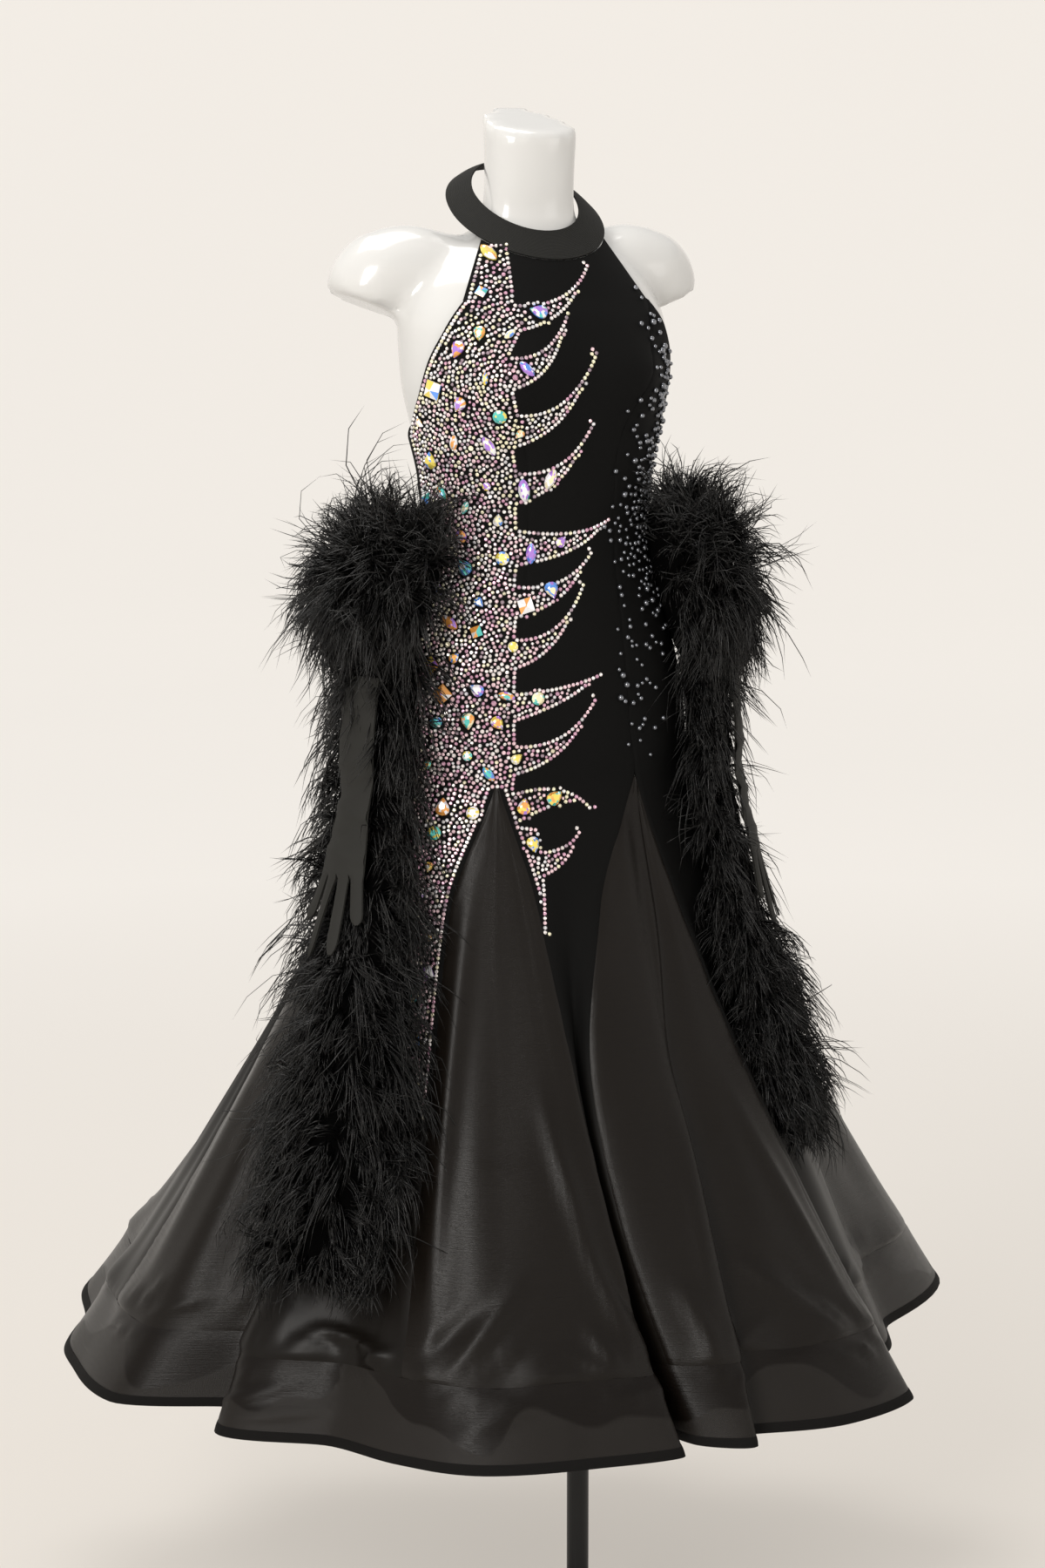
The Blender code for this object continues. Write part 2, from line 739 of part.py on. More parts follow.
# ---- form and stand -------------------------------------------------------------------------
torso = lofted_body("dress_form", "gloss_white", parts, form_rings())
for side, side_name in ((-1.0, "right"), (1.0, "left")):
    stub = lofted_body("stub_" + side_name, "gloss_white", tools, stub_rings(side))
    stub.hide_render = True
    stub.display_type = "WIRE"
    join = torso.modifiers.new("stub_" + side_name, "BOOLEAN")
    join.operation = "UNION"
    join.solver = "EXACT"
    join.object = stub

upright_cylinder("base_plate", "pole_black", parts, BASE_RADIUS, 0.0, BASE_THICK, 64)
pole_foot = BASE_THICK + SEAM_GAP
pole_head = FORM_FOOT + STAND_LIFT - SEAM_GAP
upright_cylinder("pole", "pole_black", parts, POLE_RADIUS, pole_foot, pole_head, 24)
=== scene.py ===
import math

import bmesh
import bpy
import numpy as np
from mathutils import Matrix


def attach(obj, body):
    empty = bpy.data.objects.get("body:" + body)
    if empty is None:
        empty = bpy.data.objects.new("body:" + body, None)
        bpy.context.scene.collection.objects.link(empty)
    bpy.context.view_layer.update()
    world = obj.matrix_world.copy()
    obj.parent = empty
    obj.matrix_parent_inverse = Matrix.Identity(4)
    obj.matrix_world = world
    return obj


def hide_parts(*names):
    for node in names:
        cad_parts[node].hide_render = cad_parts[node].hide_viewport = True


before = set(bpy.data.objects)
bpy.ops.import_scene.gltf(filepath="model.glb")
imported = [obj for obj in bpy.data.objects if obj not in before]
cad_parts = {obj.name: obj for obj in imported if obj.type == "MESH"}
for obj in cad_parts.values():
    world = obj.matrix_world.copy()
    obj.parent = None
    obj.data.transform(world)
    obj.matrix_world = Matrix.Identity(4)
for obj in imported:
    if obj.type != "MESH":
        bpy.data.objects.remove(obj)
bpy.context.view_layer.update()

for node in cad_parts.values():
    node.select_set(False)

# ---- the gown's sizes -----------------------------------------------------------------------
PLACE = np.array((-0.034, 0.045, 0.150))   # middle of the figure on the wearer's floor
CLOTH = 0.0012
COLLAR_CLOTH = 0.0018
BINDING_CLOTH = 0.0020
GLOVE_CLOTH = 0.0010
SEAM_GAP = 0.0003
EASE = 0.0045
APEX = 0.830                # top of every godet
BAND_SEAM = 0.248
HEM = 0.179
BINDING_DEPTH = 0.009
BINDING_LAP = 0.0006        # the binding folds this far over the band
GODET_TOP = 0.826
FLARE_POWER = 1.25
LEVELS = (0.830, 0.700, 0.530, 0.172)
NECK_Y = 0.020
COLLAR_LOW = 1.4185
COLLAR_LOW_RADIUS = 0.084
COLLAR_LOW_SLOPE = 0.56
COLLAR_HIGH = 1.437
COLLAR_HIGH_RADIUS = 0.057
COLLAR_HIGH_SLOPE = 0.64
HALTER_REACH = 58.0
HALTER_START = 1.330
HALTER_TOP = 1.404
WAIST_LINE = 1.060
BUST_ANGLE = 33.0
BUST_HEIGHT = 1.245
BUST_FORWARD = 0.020
FORM_BUST_FORWARD = 0.011
BUST_SPREAD = 21.0
BUST_TALL = 0.047
NECK_TOP = 1.512
NECK_SLANT = 0.30
SIDE_SEAM = 89.0
FLOAT_CLEAR = 0.010

# figure: height, half width, front, back
FIGURE = np.array((
    (0.740, 0.160, 0.100, 0.112),
    (0.800, 0.168, 0.106, 0.122),
    (0.860, 0.170, 0.108, 0.126),
    (0.920, 0.163, 0.109, 0.118),
    (1.000, 0.142, 0.106, 0.098),
    (1.080, 0.120, 0.100, 0.078),
    (1.140, 0.124, 0.102, 0.082),
    (1.200, 0.138, 0.104, 0.092),
    (1.250, 0.148, 0.106, 0.102),
    (1.300, 0.150, 0.096, 0.108),
    (1.340, 0.134, 0.074, 0.108),
    (1.375, 0.098, 0.047, 0.102),
    (1.400, 0.062, 0.029, 0.093),
    (1.420, 0.048, 0.024, 0.082),
    (1.445, 0.047, 0.027, 0.071),
    (1.480, 0.048, 0.031, 0.068),
    (1.512, 0.050, 0.034, 0.067),
))

# shoulder stub: across, towards the back, height, lean, half height, half depth
STUB = np.array((
    (0.040, 0.038, 1.350, 0.0, 0.038, 0.044),
    (0.085, 0.040, 1.353, 4.0, 0.047, 0.050),
    (0.120, 0.043, 1.357, 14.0, 0.052, 0.052),
    (0.150, 0.045, 1.352, 32.0, 0.052, 0.052),
    (0.169, 0.047, 1.339, 55.0, 0.046, 0.048),
    (0.176, 0.048, 1.324, 68.0, 0.041, 0.045),
))

# princess seams: height, angle on the wearer's right, angle on the wearer's left
PRINCESS = np.array((
    (0.830, 42.0, 36.0),
    (0.900, 36.0, 31.0),
    (1.000, 30.0, 28.0),
    (1.080, 28.0, 27.0),
    (1.150, 28.0, 26.0),
    (1.210, 32.0, 29.0),
    (1.262, 43.0, 41.0),
    (1.300, 54.0, 52.0),
    (1.330, 62.0, 61.0),
))

# armhole edge: height, angle
ARMHOLE = np.array((
    (1.180, 95.0),
    (1.235, 78.0),
    (1.270, 72.0),
    (1.300, 66.0),
    (1.330, 61.5),
))

# low back edge: angle, height
BACK_EDGE = np.array((
    (89.0, 1.199),
    (110.0, 1.170),
    (138.0, 1.146),
    (180.0, 1.136),
))

# seam and fold lines round the skirt: name, angle at the apex, thigh, knee and hem, reach at the
# hem; the heights of the apex, thigh, knee and hem are in LEVELS
LINES = (
    ("centre_back", -180.0, -180.0, -180.0, -180.0, 0.585),
    ("back_fold_right", -160.0, -165.0, -168.0, -170.0, 0.610),
    ("back_godet_right_in", -138.0, -150.0, -155.0, -160.0, 0.545),
    ("back_godet_right_fold", -138.0, -142.0, -145.0, -147.0, 0.605),
    ("back_godet_right_out", -138.0, -134.0, -133.0, -131.0, 0.530),
    ("side_back_fold_right", -112.0, -116.0, -117.0, -119.0, 0.520),
    ("side_godet_right_in", -89.0, -100.0, -106.0, -110.0, 0.502),
    ("side_godet_right_fold", -89.0, -93.0, -95.0, -95.0, 0.478),
    ("side_godet_right_out", -89.0, -86.0, -84.5, -84.0, 0.365),
    ("side_fold_right", -80.0, -76.0, -75.0, -74.0, 0.428),
    ("side_hollow_right", -62.0, -63.0, -61.0, -58.0, 0.378),
    ("front_godet_right_out", -42.0, -54.0, -51.0, -45.0, 0.400),
    ("front_godet_right_fold", -42.0, -44.0, -39.0, -33.0, 0.416),
    ("front_godet_right_flat", -42.0, -32.0, -24.0, -14.0, 0.392),
    ("front_godet_right_in", -42.0, -23.0, -13.0, -1.5, 0.384),
    ("centre_front_fold", -3.0, -9.0, -10.5, 1.0, 0.305),
    ("front_godet_left_in", 36.0, 5.0, -7.5, 3.5, 0.355),
    ("front_godet_left_fold", 36.0, 28.0, 17.0, 10.5, 0.392),
    ("front_godet_left_hollow", 36.0, 32.0, 21.0, 14.5, 0.358),
    ("front_godet_left_flat", 36.0, 36.0, 32.0, 29.0, 0.408),
    ("front_godet_left_out", 36.0, 40.0, 41.0, 44.0, 0.432),
    ("side_hollow_left", 52.0, 53.0, 54.0, 55.0, 0.350),
    ("side_fold_left", 68.0, 69.0, 70.0, 70.0, 0.398),
    ("side_godet_left_out", 89.0, 83.0, 82.0, 81.0, 0.415),
    ("side_godet_left_fold", 89.0, 94.0, 98.0, 102.0, 0.590),
    ("side_godet_left_in", 89.0, 102.0, 109.0, 114.0, 0.535),
    ("side_back_fold_left", 112.0, 117.0, 121.0, 125.0, 0.590),
    ("back_godet_left_out", 138.0, 134.0, 134.0, 134.0, 0.520),
    ("back_godet_left_fold", 138.0, 143.0, 146.0, 148.0, 0.600),
    ("back_godet_left_in", 138.0, 151.0, 156.0, 162.0, 0.550),
)
LINE_NAMES = [line[0] for line in LINES]
LINE_ANGLES = np.array([line[1:5] for line in LINES])
LINE_REACH = np.array([line[5] for line in LINES])

# gores: name, first line, last line
GORES = (
    ("back_right", "centre_back", "back_godet_right_in"),
    ("side_back_right", "back_godet_right_out", "side_godet_right_in"),
    ("side_front_right", "side_godet_right_out", "front_godet_right_out"),
    ("centre_front", "front_godet_right_in", "front_godet_left_in"),
    ("side_front_left", "front_godet_left_out", "side_godet_left_out"),
    ("side_back_left", "side_godet_left_in", "back_godet_left_out"),
    ("back_left", "back_godet_left_in", "centre_back"),
)

# godets: name, first line, last line
GODETS = (
    ("back_godet_right", "back_godet_right_in", "back_godet_right_out"),
    ("side_godet_right", "side_godet_right_in", "side_godet_right_out"),
    ("front_godet_right", "front_godet_right_out", "front_godet_right_in"),
    ("front_godet_left", "front_godet_left_in", "front_godet_left_out"),
    ("side_godet_left", "side_godet_left_out", "side_godet_left_in"),
    ("back_godet_left", "back_godet_left_out", "back_godet_left_in"),
)

# lengths of hem band: name, first line, last line
BANDS = (
    ("hem_band_right", "centre_back", "side_godet_right_out"),
    ("hem_band_front", "side_godet_right_out", "side_hollow_left"),
    ("hem_band_left", "side_hollow_left", "centre_back"),
)

# feather trims: height, angle, half width, thickness
CUFF_RIGHT = (
    (1.108, -84.0, 0.030, 0.034),
    (1.090, -85.0, 0.062, 0.074),
    (1.052, -86.0, 0.078, 0.100),
    (1.010, -86.0, 0.076, 0.098),
    (0.982, -85.0, 0.066, 0.074),
    (0.968, -84.0, 0.040, 0.040),
)
BOA_RIGHT = (
    (0.964, -84.0, 0.040, 0.024),
    (0.948, -84.0, 0.060, 0.036),
    (0.860, -84.0, 0.064, 0.042),
    (0.765, -82.0, 0.062, 0.044),
    (0.700, -77.0, 0.064, 0.044),
    (0.620, -72.0, 0.070, 0.046),
    (0.530, -68.0, 0.078, 0.050),
    (0.430, -65.0, 0.080, 0.052),
    (0.360, -64.0, 0.070, 0.050),
    (0.315, -63.0, 0.048, 0.036),
    (0.300, -63.0, 0.026, 0.020),
)
CUFF_LEFT = (
    (1.118, 70.0, 0.028, 0.032),
    (1.100, 70.0, 0.056, 0.070),
    (1.060, 71.0, 0.070, 0.098),
    (1.000, 72.0, 0.070, 0.094),
    (0.962, 73.0, 0.060, 0.066),
    (0.948, 73.0, 0.036, 0.034),
)
BOA_LEFT = (
    (0.944, 73.0, 0.036, 0.024),
    (0.928, 73.0, 0.052, 0.036),
    (0.850, 72.0, 0.054, 0.042),
    (0.765, 70.0, 0.050, 0.042),
    (0.700, 68.0, 0.050, 0.040),
    (0.620, 64.0, 0.050, 0.040),
    (0.530, 61.0, 0.052, 0.042),
    (0.440, 59.0, 0.044, 0.036),
    (0.405, 58.0, 0.022, 0.018),
)

# empty glove: height, half width
GLOVE = (
    (0.942, 0.024),
    (0.890, 0.024),
    (0.845, 0.023),
    (0.805, 0.021),
    (0.775, 0.026),
    (0.738, 0.032),
)
FINGER_ROOT = 0.738
FINGER_HALF = 0.0066
# fingers: sideways place of the tip, length
FINGERS = (
    (-0.042, 0.052),
    (-0.027, 0.090),
    (0.017, 0.082),
    (0.038, 0.050),
)
GLOVE_BULGE = 0.0030

# ---- creases laid in one by one -------------------------------------------------------------
# long soft creases: angle and height at the top, angle and height at the foot, half width, depth
# (a ridge is above nought and a trough below)
LONG_CREASES = np.array((
    (-49.5, 0.740, -42.0, 0.236, 0.012, 0.0075),
    (-36.0, 0.660, -29.0, 0.300, 0.026, -0.0040),
    (-23.0, 0.520, -5.5, 0.258, 0.010, 0.0065),
    (-17.0, 0.420, -1.5, 0.262, 0.008, -0.0050),
    (-27.0, 0.345, -38.5, 0.254, 0.008, 0.0065),
    (-34.0, 0.325, -44.0, 0.258, 0.009, -0.0050),
    (-66.0, 0.280, -49.0, 0.264, 0.006, 0.0065),
    (-48.5, 0.270, -55.0, 0.250, 0.005, 0.0055),
    (-86.0, 0.370, -88.0, 0.258, 0.008, 0.0055),
    (-79.5, 0.380, -81.5, 0.258, 0.010, -0.0050),
    (-79.0, 0.192, -65.0, 0.228, 0.005, 0.0045),
    (-77.0, 0.186, -58.0, 0.204, 0.006, 0.0040),
    (-24.0, 0.236, -36.0, 0.205, 0.009, 0.0035),
    (-2.0, 0.236, -14.0, 0.226, 0.005, 0.0030),
    (24.0, 0.800, 19.0, 0.690, 0.012, 0.0040),
    (29.5, 0.800, 13.5, 0.430, 0.008, -0.0045),
    (16.0, 0.520, 9.5, 0.262, 0.012, 0.0050),
    (24.5, 0.560, 23.0, 0.300, 0.016, -0.0035),
    (20.5, 0.345, 34.0, 0.260, 0.008, 0.0060),
    (26.5, 0.350, 38.0, 0.262, 0.008, -0.0045),
    (32.5, 0.520, 40.0, 0.260, 0.010, 0.0070),
    (29.0, 0.242, 37.0, 0.218, 0.005, 0.0040),
    (35.0, 0.240, 40.0, 0.226, 0.004, 0.0035),
    (5.0, 0.330, 9.0, 0.254, 0.010, 0.0060),
    (48.0, 0.560, 50.0, 0.262, 0.015, 0.0045),
    (61.0, 0.600, 62.5, 0.270, 0.017, -0.0040),
    (76.0, 0.640, 75.5, 0.256, 0.016, 0.0045),
    (90.0, 0.560, 91.0, 0.256, 0.020, -0.0050),
    (104.0, 0.500, 107.0, 0.262, 0.019, 0.0050),
    (118.0, 0.620, 119.0, 0.262, 0.022, -0.0045),
    (129.0, 0.520, 130.0, 0.256, 0.016, 0.0045),
    (140.0, 0.600, 141.0, 0.270, 0.020, -0.0045),
    (154.0, 0.620, 155.0, 0.262, 0.019, 0.0050),
    (168.0, 0.560, 169.5, 0.256, 0.022, -0.0045),
    (-176.0, 0.620, -175.0, 0.262, 0.018, 0.0045),
    (-160.0, 0.560, -164.0, 0.256, 0.021, -0.0050),
    (-150.0, 0.600, -153.5, 0.268, 0.017, 0.0050),
    (-138.0, 0.520, -139.0, 0.256, 0.018, -0.0045),
    (-124.0, 0.620, -125.0, 0.262, 0.020, 0.0045),
    (-112.0, 0.560, -114.5, 0.256, 0.016, -0.0040),
    (-101.0, 0.600, -102.0, 0.262, 0.018, 0.0050),
    (-89.0, 0.520, -89.5, 0.256, 0.014, -0.0045),
    (-79.0, 0.560, -79.0, 0.262, 0.014, 0.0040),
    (-67.0, 0.620, -66.0, 0.256, 0.015, -0.0045),
    (-56.0, 0.480, -51.5, 0.256, 0.013, 0.0040),
    (-8.0, 1.120, -27.0, 1.085, 0.010, -0.0007),
    (12.0, 1.105, 26.0, 1.075, 0.009, -0.0008),
    (4.0, 1.205, 22.0, 1.168, 0.013, -0.0007),
    (-2.0, 0.905, 22.0, 0.870, 0.013, -0.0008),
    (26.0, 0.905, 36.0, 0.850, 0.010, -0.0008),
    (150.0, 1.090, 118.0, 1.070, 0.012, -0.0008),
    (-150.0, 1.090, -118.0, 1.066, 0.012, -0.0008),
    (170.0, 0.900, 140.0, 0.868, 0.014, -0.0008),
    (-168.0, 0.898, -138.0, 0.872, 0.014, -0.0008),
))

# small fans of creases that run up from the hem band's seam: angle, lean, reach, depth
GATHERS = (
    (-71.0, 3.0, 0.050, 0.0035),
    (-57.0, -4.0, 0.036, 0.0030),
    (-31.0, 5.0, 0.044, 0.0030),
    (-9.0, -5.0, 0.050, 0.0038),
    (14.0, 4.0, 0.042, 0.0032),
    (38.0, -4.0, 0.052, 0.0042),
    (58.0, 5.0, 0.040, 0.0034),
    (84.0, -4.0, 0.050, 0.0038),
    (112.0, 5.0, 0.044, 0.0034),
    (131.0, -3.0, 0.038, 0.0036),
    (157.0, 5.0, 0.050, 0.0036),
    (-178.0, -4.0, 0.042, 0.0032),
    (-153.0, 4.0, 0.052, 0.0040),
    (-127.0, -5.0, 0.040, 0.0034),
    (-99.0, 4.0, 0.048, 0.0036),
)
# creases of a fan: sideways turn, share of the reach and depth
FAN = ((-7.0, 0.62), (-1.5, 1.0), (5.0, 0.72))
FAN_FOOT = BAND_SEAM + 0.003
FAN_HALF = 0.0045           # half width of a crease of a fan
ECHO_TOP = BAND_SEAM - 0.004


def gather_rows():
    """The creases of every fan, each with a fainter echo on the band under it."""
    rows = []
    for angle, lean, reach, depth in GATHERS:
        for turn, share in FAN:
            foot_angle = angle + turn * 0.4
            rows.append((
                angle + lean + turn, FAN_FOOT + reach * share, foot_angle, FAN_FOOT,
                FAN_HALF, depth * share,
            ))
            rows.append((
                foot_angle, ECHO_TOP, angle - lean * 0.6 + turn * 0.8, ECHO_TOP - reach * share * 0.5,
                FAN_HALF, depth * share * 0.7,
            ))
    return np.array(rows)


CREASES = np.concatenate((LONG_CREASES, gather_rows()))

# puffs of cloth caught by the hem band's seam: angle, half width in degrees, rise above the seam,
# depth
PUFFS = np.array((
    (-52.5, 3.2, 0.026, 0.0075),
    (-43.0, 5.2, 0.034, 0.0080),
    (-30.0, 3.4, 0.020, -0.0040),
    (-22.0, 4.4, 0.018, 0.0065),
    (-12.0, 4.0, 0.030, 0.0075),
    (-5.0, 2.4, 0.014, -0.0035),
    (8.0, 2.4, 0.024, 0.0060),
    (17.0, 3.6, 0.030, 0.0075),
    (25.0, 2.6, 0.016, -0.0040),
    (33.0, 4.2, 0.026, 0.0080),
    (42.0, 2.6, 0.020, 0.0055),
    (54.0, 4.4, 0.028, -0.0050),
    (66.0, 5.0, 0.030, 0.0075),
    (78.0, 3.0, 0.018, 0.0055),
    (92.0, 4.6, 0.030, 0.0075),
    (108.0, 4.0, 0.022, -0.0045),
    (121.0, 4.6, 0.030, 0.0080),
    (137.0, 4.2, 0.024, 0.0060),
    (151.0, 4.8, 0.030, 0.0075),
    (166.0, 3.6, 0.020, -0.0045),
    (-173.0, 4.6, 0.028, 0.0075),
    (-158.0, 4.0, 0.022, 0.0060),
    (-146.0, 4.4, 0.030, 0.0080),
    (-131.0, 4.0, 0.020, -0.0045),
    (-119.0, 4.6, 0.028, 0.0070),
    (-105.0, 3.8, 0.024, 0.0065),
    (-93.0, 3.2, 0.018, -0.0040),
    (-79.0, 4.0, 0.030, 0.0075),
    (-66.0, 3.6, 0.022, 0.0060),
))
PUFF_BASE = 0.0045          # the puff is fullest this far above the seam
PUFF_FOOT = 0.006           # and falls away this fast below that
BAND_ECHO = 0.35            # share of a puff that shows on the band below the seam
SEAM_DIP = 0.0009
SEAM_HALF = 0.0022
STITCH_PITCH = 0.011        # between the tiny puckers along a seam
PUCKER = 0.00035
PUCKER_HALF = 0.008
CREASE_RUN = 1.15           # a crease fades out this far along, as a share of its half length


# ---- curves and the gown's surface ----------------------------------------------------------
def smooth_between(places, values, place):
    """Values on the smooth curves that keep every rise and fall of the tables' rows."""
    places = np.asarray(places, float)
    place = np.asarray(place, float)
    values = np.broadcast_to(np.asarray(values, float), place.shape + (len(places),))
    steps = np.diff(values, axis=-1) / np.diff(places)
    before = np.concatenate((steps[..., :1], steps), axis=-1)
    after = np.concatenate((steps, steps[..., -1:]), axis=-1)
    alike = before * after > 0.0
    slopes = np.where(alike, 2.0 * before * after / np.where(alike, before + after, 1.0), 0.0)
    index = np.clip(np.searchsorted(places, place, side="left") - 1, 0, len(places) - 2)

    def pick(table, shift):
        return np.take_along_axis(table, (index + shift)[..., None], -1)[..., 0]

    span = places[index + 1] - places[index]
    part = (place - places[index]) / span
    rise = part * part * (3.0 - 2.0 * part)
    inside = (
        pick(values, 0) * (1.0 - rise)
        + pick(values, 1) * rise
        + pick(slopes, 0) * part * (1.0 - part) ** 2 * span
        + pick(slopes, 1) * part * part * (part - 1.0) * span
    )
    below = values[..., 0] + slopes[..., 0] * (place - places[0])
    above = values[..., -1] + slopes[..., -1] * (place - places[-1])
    return np.where(part < 0.0, below, np.where(part > 1.0, above, inside))


def read_column(table, column, place):
    """A column of a table on its smooth curve, at places along the table's first column."""
    return smooth_between(table[:, 0], table[:, column], place)


def halve(low, high, under, steps):
    """Closes in by halving on the last place for which under is true."""
    for _ in range(steps):
        middle = (low + high) / 2.0
        short = under(middle)
        low = np.where(short, middle, low)
        high = np.where(short, high, middle)
    return low


def turns_round(count):
    return np.linspace(0.0, 2.0 * math.pi, count, endpoint=False)


def unit(vectors):
    return vectors / np.maximum(np.linalg.norm(vectors, axis=-1, keepdims=True), 1e-12)


def bell(offset, half_width):
    return np.exp(-((offset / half_width) ** 2))


def wrapped(angle):
    return (angle + 180.0) % 360.0 - 180.0


def around(radius, angle, height):
    turned = np.radians(angle)
    return np.stack((radius * np.sin(turned), -radius * np.cos(turned), height), -1)


def figure_radius(height, angle, bust):
    across, front, back = [read_column(FIGURE, k, height) for k in (1, 2, 3)]
    turned = np.radians(angle)
    deep = np.where(np.cos(turned) > 0.0, front, back)
    radius = 1.0 / np.hypot(np.sin(turned) / across, np.cos(turned) / deep)
    cup = bell(np.abs(angle) - BUST_ANGLE, BUST_SPREAD) * bell(height - BUST_HEIGHT, BUST_TALL)
    return radius + bust * cup


def bodice_angle(apex_angle, height):
    """Angle of a line above the godets, moved with the princess seams."""
    right = read_column(PRINCESS, 1, height)
    left = read_column(PRINCESS, 2, height)
    seam = np.where(apex_angle < 0.0, right, left)
    seam_apex = np.where(apex_angle < 0.0, PRINCESS[0, 1], PRINCESS[0, 2])
    size = np.abs(apex_angle)
    inner = size * seam / seam_apex
    outer = seam + (size - seam_apex) * (SIDE_SEAM - seam) / (SIDE_SEAM - seam_apex)
    moved = np.where(size <= seam_apex, inner, np.where(size <= SIDE_SEAM, outer, size))
    return np.copysign(moved, apex_angle)


def line_angle(number, height):
    """Angle of a line at a height; numbers past either end of the table go on round the ring."""
    turns, place = np.divmod(number, len(LINES))
    angles = LINE_ANGLES[place]
    low = smooth_between([-level for level in LEVELS], angles, -height)
    high = bodice_angle(angles[..., 0], height)
    return np.where(height >= APEX, high, low) + 360.0 * turns


def place_on_ring(place, height):
    """Angle and hem reach at places given in lines round the skirt."""
    base = np.floor(place).astype(int)
    near = range(-2, 4)
    angles = np.stack([line_angle(base + k, height) for k in near], -1)
    reach = np.stack([LINE_REACH[(base + k) % len(LINES)] for k in near], -1)
    return smooth_between(near, angles, place - base), smooth_between(near, reach, place - base)


def gown_radius(angle, reach, height):
    fall = np.maximum(0.0, (APEX - height) / (APEX - LEVELS[-1])) ** FLARE_POWER
    body = figure_radius(np.maximum(height, APEX), wrapped(angle), BUST_FORWARD) + EASE
    return np.where(height >= APEX, body, body * (1.0 - fall) + reach * fall)


def gown_point(place, height):
    angle, reach = place_on_ring(place, height)
    return around(gown_radius(angle, reach, height), angle, height)


def gown_normal(place, height):
    along = gown_point(place + 0.05, height) - gown_point(place - 0.05, height)
    rising = gown_point(place, height + 0.002) - gown_point(place, height - 0.002)
    return unit(np.cross(along, rising))


def creased(angle, height, radius):
    """How far the cloth stands out of its plain form, from the creases, puffs and seams."""
    out = np.zeros(np.shape(angle))
    for top_angle, top, foot_angle, foot, half, depth in CREASES:
        mid_angle = (top_angle + foot_angle) / 2.0
        x = np.radians(wrapped(angle - mid_angle)) * radius
        y = height - (top + foot) / 2.0
        half_x = math.radians(foot_angle - top_angle) / 2.0 * radius
        half_y = (foot - top) / 2.0
        length = np.hypot(half_x, half_y)
        along = (x * half_x + y * half_y) / length
        aside = (x * half_y - y * half_x) / length
        fade = np.clip(1.0 - (along / (length * CREASE_RUN)) ** 2, 0.0, 1.0) ** 1.5
        out += depth * fade * bell(aside, half)
    return out + puffed(angle, height)


def puffed(angle, height):
    """Puffs over the hem band's seam, fainter on the band under it."""
    out = np.zeros(np.shape(angle))
    above = height - BAND_SEAM - PUFF_BASE
    for middle, half, rise, depth in PUFFS:
        under = BAND_ECHO * bell(above, rise * 0.8) + (1.0 - BAND_ECHO) * bell(above, PUFF_FOOT)
        up_and_down = np.where(above > 0.0, bell(above, rise), under)
        out += depth * bell(wrapped(angle - middle), half) * up_and_down
    return out


def seam_dip(aside, along):
    """The little valley over a seam, with puckers along it."""
    pucker = PUCKER * np.sin(2.0 * math.pi * along / STITCH_PITCH + 3.0 * np.sin(along * 41.0))
    return -SEAM_DIP * bell(aside, SEAM_HALF) + pucker * bell(aside, PUCKER_HALF)


# ---- the bare skin of the gown, for what is set on it ------------------------------------------
TURN_STEP = 0.5
SKIN_STEP = 0.004
SKIN_TURNS = np.arange(-180.0, 180.0 + TURN_STEP, TURN_STEP)
SKIN_HEIGHTS = np.arange(0.240, HALTER_TOP + SKIN_STEP, SKIN_STEP)
RING_PLACES = np.linspace(0.0, len(LINES), len(LINES) * 10 + 1)


def collar_point(turn, share, drop=0.0):
    radius = COLLAR_LOW_RADIUS + (COLLAR_HIGH_RADIUS - COLLAR_LOW_RADIUS) * share
    slope = COLLAR_LOW_SLOPE + (COLLAR_HIGH_SLOPE - COLLAR_LOW_SLOPE) * share
    middle = COLLAR_LOW + (COLLAR_HIGH - COLLAR_LOW) * share
    back = -radius * np.cos(np.radians(turn))
    return np.stack((radius * np.sin(np.radians(turn)), NECK_Y + back, middle + slope * back - drop), -1)


def collar_normal(turn, share, drop=0.0):
    along = collar_point(turn + 0.5, share, drop) - collar_point(turn - 0.5, share, drop)
    rising = collar_point(turn, share + 0.05, drop) - collar_point(turn, share - 0.05, drop)
    return unit(np.cross(along, rising))


def halter_row(height):
    """Distance out to the halter at one height, over the skin's turns."""
    first = LINE_NAMES.index("front_godet_right_in")
    places = np.linspace(first, first + 2.0, 41)
    low = gown_point(places, np.full(len(places), HALTER_START))
    high = collar_point(np.linspace(-HALTER_REACH, HALTER_REACH, len(places)), 0.0, COLLAR_CLOTH)
    share = (height - low[:, 2]) / (high[:, 2] - low[:, 2])
    spots = low + (high - low) * share[:, None]
    turns = np.degrees(np.arctan2(spots[:, 0], -spots[:, 1]))
    return np.interp(SKIN_TURNS, turns, np.hypot(spots[:, 0], spots[:, 1]))


def skin_row(height):
    if height > HALTER_START:
        return halter_row(height)
    angle, reach = place_on_ring(RING_PLACES, np.full(len(RING_PLACES), height))
    return np.interp(SKIN_TURNS, angle, gown_radius(angle, reach, height))


SKIN = np.array([skin_row(height) for height in SKIN_HEIGHTS])
SKIN_ARC = np.concatenate((
    np.zeros((len(SKIN), 1)),
    np.cumsum(np.hypot(
        np.diff(SKIN, axis=1),
        (SKIN[:, 1:] + SKIN[:, :-1]) / 2.0 * math.radians(TURN_STEP),
    ), axis=1),
), axis=1)
SKIN_ARC -= SKIN_ARC[:, len(SKIN_TURNS) // 2][:, None]


